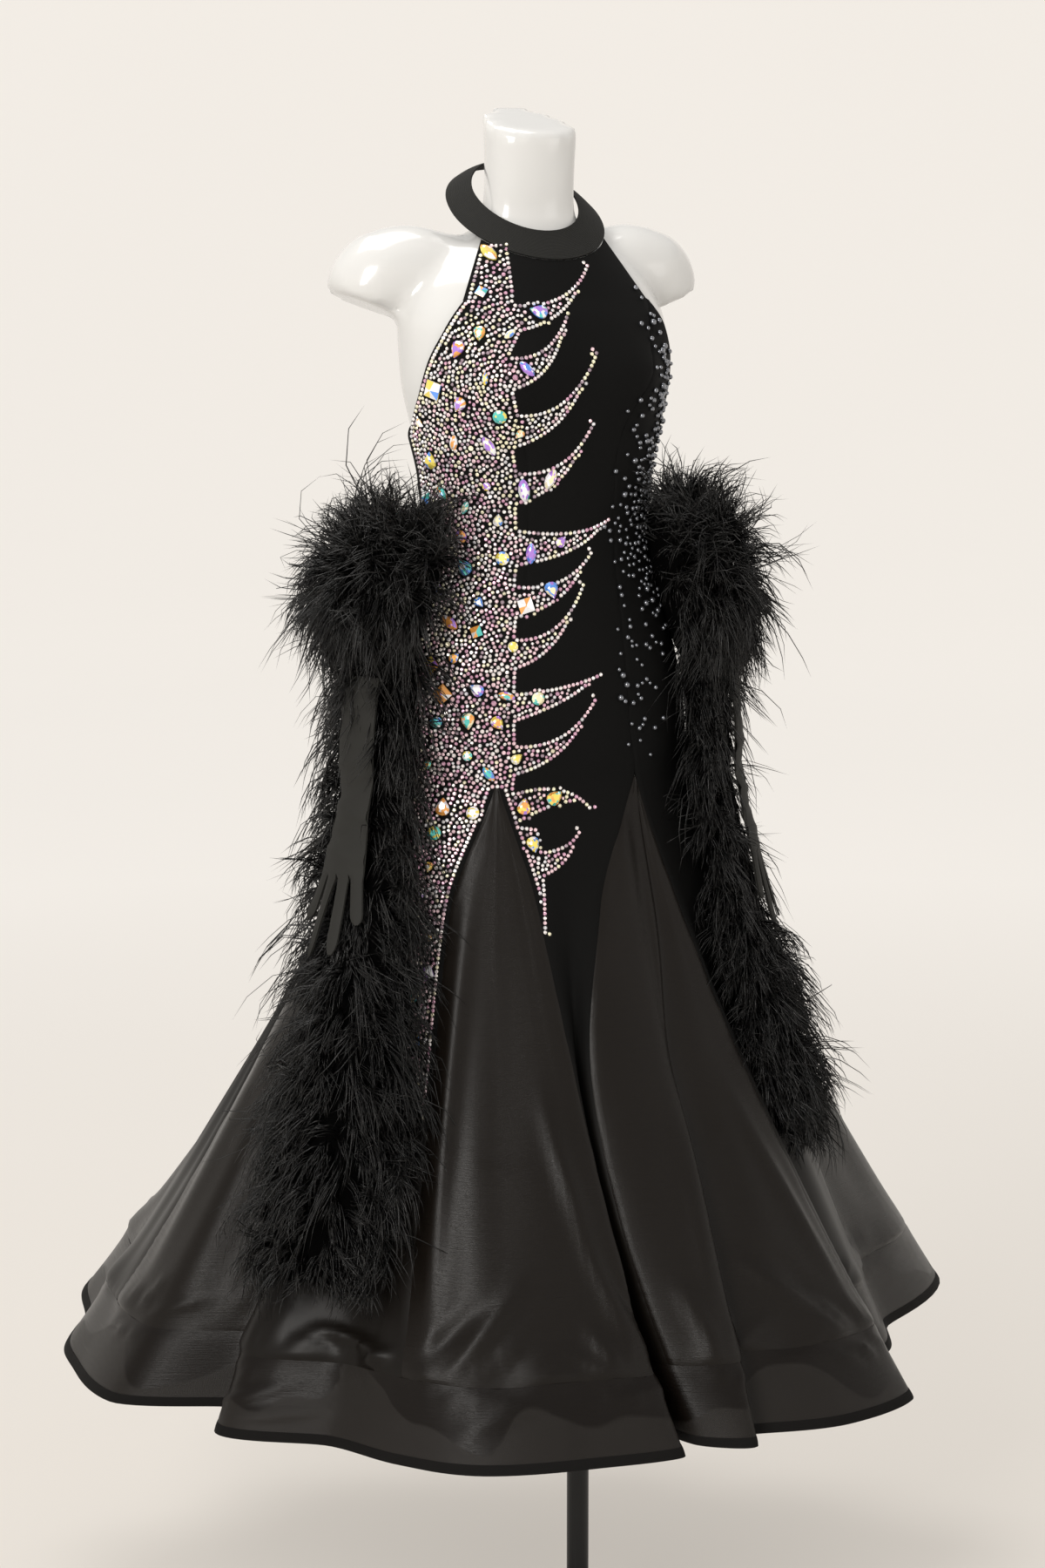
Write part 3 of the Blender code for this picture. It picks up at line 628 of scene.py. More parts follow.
def read_skin(table, angle, height):
    """A value of the skin's table between its turns and heights."""
    column = np.clip((wrapped(angle) + 180.0) / TURN_STEP, 0.0, len(SKIN_TURNS) - 1.001)
    row = np.clip((height - SKIN_HEIGHTS[0]) / SKIN_STEP, 0.0, len(SKIN_HEIGHTS) - 1.001)
    c, r = column.astype(int), row.astype(int)
    x, y = column - c, row - r
    low = table[r, c] * (1.0 - x) + table[r, c + 1] * x
    high = table[r + 1, c] * (1.0 - x) + table[r + 1, c + 1] * x
    return low * (1.0 - y) + high * y


def skin_point(angle, height, out=0.0):
    return around(read_skin(SKIN, angle, height) + out, angle, height)


def skin_normal(angle, height):
    along = skin_point(angle + 0.6, height) - skin_point(angle - 0.6, height)
    rising = skin_point(angle, height + 0.005) - skin_point(angle, height - 0.005)
    return unit(np.cross(along, rising))


def arc_of(angle, height):
    """Length along the cloth from centre front, to the wearer's left."""
    return read_skin(SKIN_ARC, angle, height)


def angle_of(arc, height):
    """Angle at a length along the cloth, the other way round from arc_of."""
    low = np.full(np.shape(arc), -180.0)
    high = np.full(np.shape(arc), 180.0)
    return halve(low, high, lambda middle: arc_of(middle, height) < arc, 22)


# ---- putting pieces in the scene ------------------------------------------------------------
def smooth_faces(mesh, sharp_over=50.0):
    mesh.shade_smooth()
    mesh.set_sharp_from_angle(angle=math.radians(sharp_over))


def add_piece(name, points, faces, paint):
    """A mesh piece of the garment, moved from the wearer's floor to the stand's."""
    mesh = bpy.data.meshes.new(name)
    mesh.from_pydata((np.asarray(points) + PLACE).tolist(), [], faces)
    mesh.materials.append(paint)
    thing = bpy.data.objects.new(name, mesh)
    bpy.context.scene.collection.objects.link(thing)
    return thing


def hand_in(thing, slot, *nodes):
    """The piece rides on the dress and stands for its nodes; slot is not used."""
    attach(thing, "root")
    if nodes:
        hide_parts(*nodes)
    return thing


def grid_faces(rows, columns, first, closed=False, turned=False):
    """Four-sided faces over a grid of points, facing along x up."""
    count = columns if closed else columns - 1
    faces = []
    for row in range(rows - 1):
        for i in range(count):
            after = (i + 1) % columns
            face = (
                first + row * columns + i,
                first + row * columns + after,
                first + (row + 1) * columns + after,
                first + (row + 1) * columns + i,
            )
            faces.append(face[::-1] if turned else face)
    return faces


def shell_faces(rows, columns, closed=False):
    """Faces of a thin shell: its outer grid, its inner grid and the edges between them."""
    inner = rows * columns
    faces = grid_faces(rows, columns, 0, closed)
    faces += grid_faces(rows, columns, inner, closed, turned=True)
    count = columns if closed else columns - 1
    top = (rows - 1) * columns
    for i in range(count):
        after = (i + 1) % columns
        faces.append((i, inner + i, inner + after, after))
        faces.append((top + i, top + after, inner + top + after, inner + top + i))
    if not closed:
        for row in range(rows - 1):
            low, high = row * columns, (row + 1) * columns
            end = columns - 1
            faces.append((low, high, inner + high, inner + low))
            faces.append((low + end, inner + low + end, inner + high + end, high + end))
    return faces


def lay_weave(mesh, across, along):
    """A UV map in metres, so that the weave runs along the cloth at its own size."""
    layer = mesh.uv_layers.new(name="weave")
    corners = np.empty(len(mesh.loops), int)
    mesh.loops.foreach_get("vertex_index", corners)
    flat = np.stack((across.ravel(), along.ravel()), -1)
    flat = np.concatenate((flat, flat))
    layer.data.foreach_set("uv", flat[corners].ravel())


def lengths(spots, axis):
    """Running length of a grid's rows or columns."""
    steps = np.linalg.norm(np.diff(spots, axis=axis), axis=-1)
    start = np.zeros_like(np.take(steps, [0], axis=axis))
    return np.concatenate((start, np.cumsum(steps, axis=axis)), axis=axis)


def grid_area(spots):
    one = np.cross(spots[:-1, 1:] - spots[:-1, :-1], spots[1:, :-1] - spots[:-1, :-1])
    two = np.cross(spots[:-1, 1:] - spots[1:, 1:], spots[1:, :-1] - spots[1:, 1:])
    return float((np.linalg.norm(one, axis=-1) + np.linalg.norm(two, axis=-1)).sum() / 2.0)


def cloth_shell(name, spots, ways, thickness, paint, closed=False):
    """A panel as a thin shell, with its weave laid and its cut's size worked out."""
    rows, columns = spots.shape[:2]
    points = np.concatenate((
        (spots + ways * thickness / 2.0).reshape(-1, 3),
        (spots - ways * thickness / 2.0).reshape(-1, 3),
    ))
    thing = add_piece(name, points, shell_faces(rows, columns, closed), paint)
    across = lengths(spots, 1)
    along = lengths(spots, 0)
    lay_weave(thing.data, across - across[:, columns // 2][:, None], along)
    smooth_faces(thing.data)
    width = float(across[:, -1].max())
    if closed:
        width += float(np.linalg.norm(spots[:, 0] - spots[:, -1], axis=-1).max())
    length = float(along[-1].max())
    area = min(grid_area(spots), width * length)
    return thing, (round(width, 3), round(length, 3)), area


# ---- the cut panels -------------------------------------------------------------------------
CUTS = 12                   # columns of cloth between two lines
SKIRT_ROW = 0.0095
FINE_ROW = 0.0043           # closer rows, up to the height after it
FINE_TOP = 0.335
BODICE_ROWS = 26
HALTER_ROWS = 16
BAND_ROWS = 15
COLLAR_CUTS = 181
COLLAR_ROWS = 11
COLLAR_SWELL = 0.0012       # the neck band and the binding stand out a little along their middles
BINDING_SWELL = 0.0004


def places_between(first, last):
    start = LINE_NAMES.index(first)
    end = LINE_NAMES.index(last)
    if end <= start:
        end += len(LINES)
    return np.linspace(start, end, (end - start) * CUTS + 1)


def rows_between(low, high, step):
    return np.linspace(low, high, max(2, round((high - low) / step) + 1))


def top_height(places):
    """Height of the bodice's free edge on each line of cloth outside the centre front."""
    apex_angle = wrapped(place_on_ring(places, np.full(len(places), APEX))[0])
    size = np.abs(apex_angle)

    def inside(middle):
        return np.abs(bodice_angle(apex_angle, middle)) < read_column(ARMHOLE, 1, middle)

    low = np.full(len(places), ARMHOLE[0, 0])
    high = np.full(len(places), ARMHOLE[-1, 0])
    return np.where(size >= SIDE_SEAM, read_column(BACK_EDGE, 1, size), halve(low, high, inside, 30))


def lay_cloth(places, heights):
    """Spots and outward directions of a panel's cloth, with its creases and seams."""
    grid = np.broadcast_to(places, heights.shape)
    angle, reach = place_on_ring(grid, heights)
    radius = gown_radius(angle, reach, heights)
    spots = around(radius, angle, heights)
    ways = gown_normal(grid, heights)
    run = lengths(spots, 1)
    rise = lengths(spots, 0)
    out = creased(angle, heights, radius)
    out += seam_dip(run, rise) + seam_dip(run[:, -1:] - run, rise)
    out += seam_dip(heights - BAND_SEAM, run)
    return spots + ways * out[..., None], ways


def skirt_rows(high):
    """Heights up the skirt, closer together over the hem band's seam."""
    low = np.arange(BAND_SEAM, FINE_TOP - FINE_ROW / 2.0, FINE_ROW)
    return np.concatenate((low, rows_between(FINE_TOP, high, SKIRT_ROW)))


def gore_cloth(first, last):
    places = places_between(first, last)
    skirt = skirt_rows(WAIST_LINE)
    skirt = np.repeat(skirt[:, None], len(places), axis=1)
    share = np.linspace(0.0, 1.0, BODICE_ROWS)[1:, None]
    bodice = WAIST_LINE + (top_height(places) - WAIST_LINE) * share
    return lay_cloth(places, np.concatenate((skirt, bodice)))


def centre_front_cloth(first, last):
    places = places_between(first, last)
    heights = skirt_rows(HALTER_START)
    spots, ways = lay_cloth(places, np.repeat(heights[:, None], len(places), axis=1))
    turns = np.linspace(-HALTER_REACH, HALTER_REACH, len(places))
    end = collar_point(turns, 0.0, COLLAR_CLOTH)
    end_way = collar_normal(turns, 0.0, COLLAR_CLOTH)
    share = np.linspace(0.0, 1.0, HALTER_ROWS)[1:, None, None]
    more = spots[-1] * (1.0 - share) + end * share
    more_ways = unit(ways[-1] * (1.0 - share) + end_way * share)
    return np.concatenate((spots, more)), np.concatenate((ways, more_ways))


def flat_cloth(first, last, heights):
    places = places_between(first, last)
    return lay_cloth(places, np.repeat(heights[:, None], len(places), axis=1))


def make_gores(paint):
    for name, first, last in GORES:
        lay = centre_front_cloth if name == "centre_front" else gore_cloth
        spots, ways = lay(first, last)
        gore, flat, area = cloth_shell(name + "_gore", spots, ways, CLOTH, paint)
        hand_in(gore, "crepe", name)


def make_godets(paint):
    for name, first, last in GODETS:
        spots, ways = flat_cloth(first, last, skirt_rows(GODET_TOP))
        godet, flat, area = cloth_shell(name + "_satin", spots, ways, CLOTH, paint)
        hand_in(godet, "satin", name)


def make_hem(band_paint, binding_paint):
    for name, first, last in BANDS:
        spots, ways = flat_cloth(first, last, np.linspace(HEM, BAND_SEAM, BAND_ROWS))
        band, flat, area = cloth_shell(name + "_length", spots, ways, CLOTH, band_paint)
        hand_in(band, "hem_band", name)
    places = places_between("centre_back", "centre_back")[:-1]
    heights = np.linspace(HEM - BINDING_DEPTH, HEM + BINDING_LAP, 4)
    grid = np.broadcast_to(places, (len(heights), len(places)))
    tall = np.repeat(heights[:, None], len(places), axis=1)
    spots, ways = gown_point(grid, tall), gown_normal(grid, tall)
    swell = np.array((0.0, BINDING_SWELL, BINDING_SWELL, 0.0))[:, None, None]
    binding, flat, area = cloth_shell(
        "hem_binding_strip", spots + ways * swell, ways, BINDING_CLOTH, binding_paint, closed=True
    )
    hand_in(binding, "binding", "hem_binding")


def make_neck_band(paint):
    gap = math.degrees(SEAM_GAP / COLLAR_HIGH_RADIUS)
    turns = np.linspace(-180.0 + gap, 180.0 - gap, COLLAR_CUTS)
    shares = np.linspace(0.0, 1.0, COLLAR_ROWS)[:, None]
    grid = np.repeat(turns[None, :], len(shares), axis=0)
    tall = np.broadcast_to(shares, grid.shape)
    ways = collar_normal(grid, tall)
    spots = collar_point(grid, tall) + ways * (COLLAR_SWELL * np.sin(math.pi * tall))[..., None]
    band, flat, area = cloth_shell("neck_band", spots, ways, COLLAR_CLOTH, paint)
    hand_in(band, "collar", "collar")


# ---- stones ---------------------------------------------------------------------------------
STONE_SEED = 7
ROOT_ANGLE = -33.0          # the solid side of stones ends here and the flames start
OUTER_ANGLE = -92.0
STONE_PITCH = 0.0048
BORDER_INSET = 0.0027
STONE_LIFT = 0.0008
OUTLINE_STEP = 0.0012
BORDER_STEP = 0.0008
BORDER_SIZE = 0.00222       # half width of a stone in the border row
SMALL_SIZES = (0.00195, 0.00217, 0.00240, 0.00165, 0.0031)
SMALL_SHARES = (0.50, 0.33, 0.10, 0.05, 0.02)
STONE_GAP = 0.00012
FIELD_TRIES = 230000
LARGE_TRIES = 5200
LARGE_MARGIN = 0.0085       # from a large stone's middle to the edge of the field
LARGE_APART = 0.0148        # half the least distance between two large stones
# half lengths and shares of the large stones: drop, navette, square, round
LARGE_HALVES = np.array((0.0100, 0.0102, 0.0092, 0.0068))
LARGE_SHARES = (0.42, 0.26, 0.14, 0.18)
LARGE_SCALE = (0.68, 1.26)
LARGE_TURN = 0.55           # spread of the large stones' turns from upright
TONE_SHARES = (0.14, 0.32, 0.32, 0.22)
SMALL_TIP = 0.10            # how far the stones tip, at random, out of the cloth's plane
LARGE_TIP = 0.06
# room that a large stone takes, as rounds along its length: drop, navette, square, round
LARGE_ROOM = (
    ((0.28, 0.62), (-0.34, 0.36)),
    ((-0.48, 0.34), (0.0, 0.48), (0.48, 0.34)),
    ((0.0, 0.94),),
    ((0.0, 0.96),),
)
STONES_TOP = 1.388
# sides of the squares in which what is already set is looked up
LARGE_CELL = 0.02
STONE_CELL = 0.006
WIDEST_ROOM = 0.012         # no stone or bead takes more room than this
NECK_EDGE = 0.050           # width of bare cloth from centre front to the stones on the halter

# flames of stones: height of the root, depth of the root, reach to the left, rise of the tip, arch
FLAMES = (
    (1.312, 0.030, 0.092, 0.056, 0.000),
    (1.256, 0.036, 0.078, 0.078, 0.000),
    (1.196, 0.038, 0.088, 0.084, 0.000),
    (1.136, 0.036, 0.080, 0.070, 0.000),
    (1.074, 0.040, 0.104, 0.030, 0.000),
    (1.018, 0.036, 0.084, 0.054, 0.000),
    (0.964, 0.034, 0.074, 0.074, 0.000),
    (0.908, 0.032, 0.096, 0.034, 0.012),
    (0.852, 0.034, 0.088, 0.066, 0.000),
    (0.802, 0.034, 0.088, -0.006, 0.028),
)
SIDE_TAIL_FOOT = 0.490      # the stones run out beside the front godet at these heights
FRONT_TAIL_FOOT = 0.672
FRONT_TAIL_WIDTH = 0.030
GODET_PEAK = 0.822
SEAM_MARGIN = 0.004         # bare cloth between a godet's seam and the stones
SIDE_TAIL_START = 0.760
TAIL_HALF = 0.0065          # the side tail ends this far from the godet's seam
TAIL_BEND = 1.35
ARM_MARGIN = 0.0008         # bare cloth between the stones and the armhole
HALTER_MARGIN = 0.0012
HALTER_LEAN = 0.12          # the stones' near edge leans out this much as it comes down the halter
TAIL_FLAME_HIGH = 0.758     # a last flame grows out of the front tail between these heights
TAIL_FLAME_LOW = 0.730
TAIL_FLAME_TIP = (0.044, 0.022)


def bend(start, pull, end, steps=14):
    """Points of a curve from start to end, drawn towards a third point."""
    t = np.linspace(0.0, 1.0, steps)[:, None]
    start, pull, end = np.array(start), np.array(pull), np.array(end)
    return start * (1.0 - t) ** 2 + pull * 2.0 * t * (1.0 - t) + end * t * t


def flame_outline(root, depth, reach, rise, arch):
    """A flame from its upper root out to its tip and back to its lower root."""
    side = float(arc_of(np.array(ROOT_ANGLE), np.array(root)))
    tip = (side + reach, root + rise)
    high = (side + reach * 0.66, root + rise * 0.12 + depth * 0.16 + arch)
    low = (side + reach * 0.76, root + rise * 0.16 - depth * 0.34 + arch)
    upper = bend((side, root + depth / 2.0), high, tip)
    lower = bend(tip, low, (side, root - depth / 2.0))
    return np.concatenate((upper, lower[1:]))


def godet_edge(name, heights, aside):
    """A godet's seam in arc and height, with a little bare cloth beside it."""
    number = np.full(len(heights), LINE_NAMES.index(name))
    arcs = arc_of(line_angle(number, heights), heights) + aside
    return np.stack((arcs, heights), -1)


def front_tail(heights):
    """The stones' near edge beside the front godet, running out at its foot."""
    width = FRONT_TAIL_WIDTH * (heights - FRONT_TAIL_FOOT) / (FLAMES[-1][0] - FRONT_TAIL_FOOT)
    return godet_edge("front_godet_right_in", heights, SEAM_MARGIN + width)


def outer_edge(heights):
    """The stones' far edge, under the arm and down the side, tapering to the tail."""
    side = np.maximum(-read_column(ARMHOLE, 1, heights), OUTER_ANGLE)
    seam = line_angle(np.full(len(heights), LINE_NAMES.index("front_godet_right_out")), heights)
    taper = np.clip((heights - SIDE_TAIL_FOOT) / (SIDE_TAIL_START - SIDE_TAIL_FOOT), 0.0, 1.0)
    taper = taper ** TAIL_BEND
    tail = arc_of(seam, heights) - TAIL_HALF
    arcs = tail * (1.0 - taper) + (arc_of(side, heights) + ARM_MARGIN) * taper
    return np.stack((arcs, heights), -1)


def stone_outline():
    """The whole edge of the stones' field, in arc and height, going down the front first."""
    top = STONES_TOP
    halter = np.linspace(top, FLAMES[0][0] + FLAMES[0][1] / 2.0 + 0.010, 12)
    near = np.full(len(halter), -NECK_EDGE) - (top - halter) * HALTER_LEAN
    parts = [np.stack((near, halter), -1)]
    parts += [flame_outline(*flame) for flame in FLAMES]
    start = FLAMES[-1][0] - FLAMES[-1][1] / 2.0 - 0.004
    root_high, root_low = front_tail(np.array((TAIL_FLAME_HIGH, TAIL_FLAME_LOW)))
    tip = root_high + np.array(TAIL_FLAME_TIP)
    parts += [front_tail(np.linspace(start, TAIL_FLAME_HIGH + 0.003, 4))]
    parts += [bend(root_high, root_high + np.array((0.034, 0.001)), tip)]
    parts += [bend(tip, root_low + np.array((0.040, 0.012)), root_low)[1:]]
    parts += [front_tail(np.linspace(TAIL_FLAME_LOW - 0.004, FRONT_TAIL_FOOT, 8))]
    rising = np.linspace(FRONT_TAIL_FOOT, GODET_PEAK, 14)
    falling = np.linspace(GODET_PEAK, SIDE_TAIL_FOOT, 26)
    parts += [godet_edge("front_godet_right_in", rising, SEAM_MARGIN)]
    parts += [godet_edge("front_godet_right_out", falling, -SEAM_MARGIN)]
    parts += [outer_edge(np.linspace(SIDE_TAIL_FOOT, HALTER_START, 60))]
    rest = np.linspace(HALTER_START, top, 10)
    edge = np.degrees(np.arctan2(*halter_edge(rest)))
    parts += [np.stack((arc_of(-edge, rest) + HALTER_MARGIN, rest), -1)]
    return np.concatenate(parts)


def halter_edge(heights):
    """Sideways and forward reach of the halter's free edge."""
    last = LINE_NAMES.index("front_godet_left_in")
    low = gown_point(np.array([float(last)]), np.array([HALTER_START]))[0]
    high = collar_point(np.array([HALTER_REACH]), 0.0, COLLAR_CLOTH)[0]
    share = (heights - low[2]) / (high[2] - low[2])
    return low[0] + (high[0] - low[0]) * share, -(low[1] + (high[1] - low[1]) * share)


def walk(outline, step):
    """Points at an even step along a closed outline."""
    loop = np.concatenate((outline, outline[:1]))
    run = np.concatenate(([0.0], np.cumsum(np.linalg.norm(np.diff(loop, axis=0), axis=1))))
    marks = np.arange(0.0, run[-1], step)
    return np.stack((np.interp(marks, run, loop[:, 0]), np.interp(marks, run, loop[:, 1])), -1)


def inside_of(outline, spots):
    """Which spots lie inside a closed outline."""
    after = np.roll(outline, -1, axis=0)
    within = np.zeros(len(spots), bool)
    for (x0, y0), (x1, y1) in zip(outline, after):
        spans = (y0 > spots[:, 1]) != (y1 > spots[:, 1])
        if y0 != y1:
            cross = (x1 - x0) * (spots[:, 1] - y0) / (y1 - y0) + x0
            within ^= spans & (spots[:, 0] < cross)
    return within


class Ground:
    """Keeps what is already set, so that nothing is set on top of it."""

    def __init__(self, cell):
        self.cell = cell
        self.squares = {}

    def fits(self, spot, room):
        reach = int(math.ceil((room + WIDEST_ROOM) / self.cell))
        column, row = int(spot[0] // self.cell), int(spot[1] // self.cell)
        for i in range(column - reach, column + reach + 1):
            for j in range(row - reach, row + reach + 1):
                for x, y, taken in self.squares.get((i, j), ()):
                    if (x - spot[0]) ** 2 + (y - spot[1]) ** 2 < (room + taken) ** 2:
                        return False
        return True

    def take(self, spot, room):
        square = (int(spot[0] // self.cell), int(spot[1] // self.cell))
        self.squares.setdefault(square, []).append((spot[0], spot[1], room))

    def settles(self, spot, room):
        """Takes the spot if it fits, and says whether it did."""
        fits = self.fits(spot, room)
        if fits:
            self.take(spot, room)
        return fits


def drop_outline(corners):
    turn = turns_round(corners)
    return np.stack((np.sin(turn) * np.sin(turn / 2.0) * 0.80, -np.cos(turn) * 0.78 + 0.10), -1)


def navette_outline(corners):
    turn = turns_round(corners)
    return np.stack((np.sin(turn) * np.abs(np.sin(turn)) ** 0.35 * 0.50, np.cos(turn)), -1)


def square_outline(corners):
    turn = turns_round(corners) + math.pi / 4.0
    flat = np.maximum(np.abs(np.cos(turn)), np.abs(np.sin(turn)))
    return np.stack((np.cos(turn) / flat, np.sin(turn) / flat), -1) * 0.80


def round_outline(corners):
    turn = turns_round(corners)
    return np.stack((np.cos(turn), np.sin(turn)), -1)


def counter_clockwise(outline):
    after = np.roll(outline, -1, axis=0)
    area = (outline[:, 0] * after[:, 1] - after[:, 0] * outline[:, 1]).sum()
    return outline if area > 0.0 else outline[::-1]


def cut_stone(outline, levels):
    """Points and faces of a cut stone of size 1: rings of (share of the outline, height)."""
    outline = counter_clockwise(outline)
    count = len(outline)
    points = [np.column_stack((outline * share, np.full(count, tall))) for share, tall in levels]
    faces = grid_faces(len(levels), count, 0, closed=True)
    faces.append(tuple(reversed(range(count))))
    faces.append(tuple(range((len(levels) - 1) * count, len(levels) * count)))
    return np.concatenate(points), faces


SMALL_LEVELS = ((1.0, 0.0), (0.56, 0.56))
LARGE_LEVELS = ((1.0, 0.0), (0.97, 0.14), (0.68, 0.36), (0.42, 0.44))
SQUARE_LEVELS = ((1.0, 0.0), (0.98, 0.12), (0.10, 0.50))
BEAD_LEVELS = ((0.86, 0.0), (1.0, 0.42), (0.80, 1.02), (0.36, 1.34))

# colours of the stones' tint, made bright as painted light for the crystal's glitter: red, green, blue,
# share of the stones
COATING_AND_PAINTED_LIGHT = np.array((
    (0.95, 0.88, 0.86, 0.34),
    (0.90, 0.64, 0.70, 0.24),
    (0.95, 0.88, 0.64, 0.12),
    (0.66, 0.36, 0.50, 0.10),
    (0.78, 0.77, 0.80, 0.12),
    (0.36, 0.27, 0.32, 0.08),
))
CLEAR = (0.88, 0.89, 0.92)
# colours painted on the facets of the large stones, painted light for the flashes of split and reflected
# light they show
PAINTED_FACET_FLASHES = np.array((
    (0.90, 0.72, 0.12),
    (0.10, 0.30, 0.85),
    (0.90, 0.90, 0.92),
    (0.08, 0.58, 0.52),
    (0.42, 0.20, 0.72),
    (0.92, 0.86, 0.55),
    (0.88, 0.38, 0.08),
))


def set_stones(name, paint, shape, spots, ways, sizes, turns, colours):
    """Joins a copy of one cut stone for each spot; colours is a row of face colours a stone."""
    template, faces = shape
    up = np.array((0.0, 0.0, 1.0))
    side = unit(np.cross(np.broadcast_to(up, ways.shape), ways))
    rise = np.cross(ways, side)
    one = side * np.cos(turns)[:, None] + rise * np.sin(turns)[:, None]
    two = np.cross(ways, one)
    scaled = template[None] * sizes[:, None, None]
    points = (
        spots[:, None]
        + scaled[..., :1] * one[:, None]
        + scaled[..., 1:2] * two[:, None]
        + scaled[..., 2:] * ways[:, None]
    ).reshape(-1, 3)
    count = len(template)
    joined = [tuple(corner + count * i for corner in face) for i in range(len(spots)) for face in faces]
    thing = add_piece(name, points, joined, paint)
    if colours is not None:
        layer = thing.data.color_attributes.new("coating_and_painted_light", "BYTE_COLOR", "CORNER")
        per_face = np.array([len(face) for face in faces])
        corners = np.repeat(colours.reshape(-1, 3), np.tile(per_face, len(spots)), axis=0)
        corners = np.column_stack((corners, np.ones(len(corners))))
        layer.data.foreach_set("color", corners.ravel())
    return thing


def settle(spots, lift):
    """Places on the creased cloth, with their outward directions."""
    angle = angle_of(spots[:, 0], spots[:, 1])
    height = spots[:, 1]
    ways = skin_normal(angle, height)
    radius = read_skin(SKIN, angle, height)
    out = creased(angle, height, radius) + lift
    return around(radius, angle, height) + ways * out[:, None], ways


def tipped(ways, random, spread):
    """The outward directions, each tipped a little its own way."""
    return unit(ways + random.normal(0.0, spread, ways.shape))


def pick_large(random, outline):
    """Spots, kinds, half lengths and turns of the large stones, well apart."""
    low, high = outline.min(0), outline.max(0)
    tries = low + (high - low) * random.random((LARGE_TRIES, 2))
    tries = tries[inside_of(outline, tries)]
    far = np.array([np.hypot(*(outline - spot).T).min() for spot in tries])
    apart = Ground(LARGE_CELL)
    large = np.array([spot for spot in tries[far > LARGE_MARGIN] if apart.settles(spot, LARGE_APART)])
    kinds = random.choice(4, len(large), p=LARGE_SHARES)
    halves = LARGE_HALVES[kinds] * random.uniform(*LARGE_SCALE, len(large))
    turns = random.normal(0.0, LARGE_TURN, len(large))
    turns = turns + math.pi * random.integers(0, 2, len(large))
    return large, kinds, halves, turns


def border_row(outline):
    """Spots for a row of stones just inside the edge of the field."""
    border = walk(stone_outline(), BORDER_STEP)
    ahead = unit(np.roll(border, -4, axis=0) - np.roll(border, 4, axis=0))
    inwards = np.stack((ahead[:, 1], -ahead[:, 0]), -1) * BORDER_INSET
    row = border + inwards
    return row if inside_of(outline, row).mean() >= 0.5 else border - inwards


def pack_small(random, outline, ground):
    """Spots and sizes of the small stones: the border row, then the field, from the foot upwards."""
    low, high = outline.min(0), outline.max(0)
    field = low + (high - low) * random.random((FIELD_TRIES, 2))
    field = field[inside_of(outline, field)]
    order = field[:, 1] + 0.35 * field[:, 0] + random.normal(0.0, 0.0009, len(field))
    field = field[np.argsort(order)]
    sizes = random.choice(SMALL_SIZES, len(field), p=SMALL_SHARES)
    placed = []
    for spot in border_row(outline):
        if ground.settles(spot, STONE_PITCH / 2.0 - 0.0001):
            placed.append((spot[0], spot[1], BORDER_SIZE))
    for spot, size, room in zip(field, sizes, sizes + STONE_GAP):
        if ground.settles(spot, room):
            placed.append((spot[0], spot[1], size))
    return np.array(placed)


def coat_small(random, placed, faces):
    """A colour for every face of the small stones, partly their own tint and partly painted glitter:
    rosier in drifts and towards the hem.
    """
    drift = np.sin(placed[:, 0] * 47.0 + np.sin(placed[:, 1] * 23.0) * 2.0) * 0.5 + 0.5
    lower = np.clip((1.16 - placed[:, 1]) / 0.30, 0.0, 1.0)
    weights = np.tile(COATING_AND_PAINTED_LIGHT[:, 3], (len(placed), 1))
    weights[:, 1] *= 0.3 + 1.0 * drift + 1.1 * lower
    weights[:, 3] *= 0.3 + 1.2 * drift + 1.4 * lower
    weights[:, 2] *= 2.2 - 1.3 * drift - 0.7 * lower
    pick = (np.cumsum(weights, 1) / weights.sum(1)[:, None] < random.random((len(placed), 1))).sum(1)
    base = COATING_AND_PAINTED_LIGHT[pick, :3][:, None, :]
    return np.clip(base * random.uniform(0.72, 1.18, (len(placed), faces, 1)), 0.0, 1.0)


def coat_large(random, count, faces):
    """A colour for every facet of the large stones, from a few tones each: clear, and painted flashes of
    split and reflected light.
    """
    tones = PAINTED_FACET_FLASHES[random.integers(0, len(PAINTED_FACET_FLASHES), (count, 4))]
    tones[:, 0] = CLEAR
    blend = random.choice(4, (count, faces), p=TONE_SHARES)
    return np.take_along_axis(tones, blend[..., None], 1)


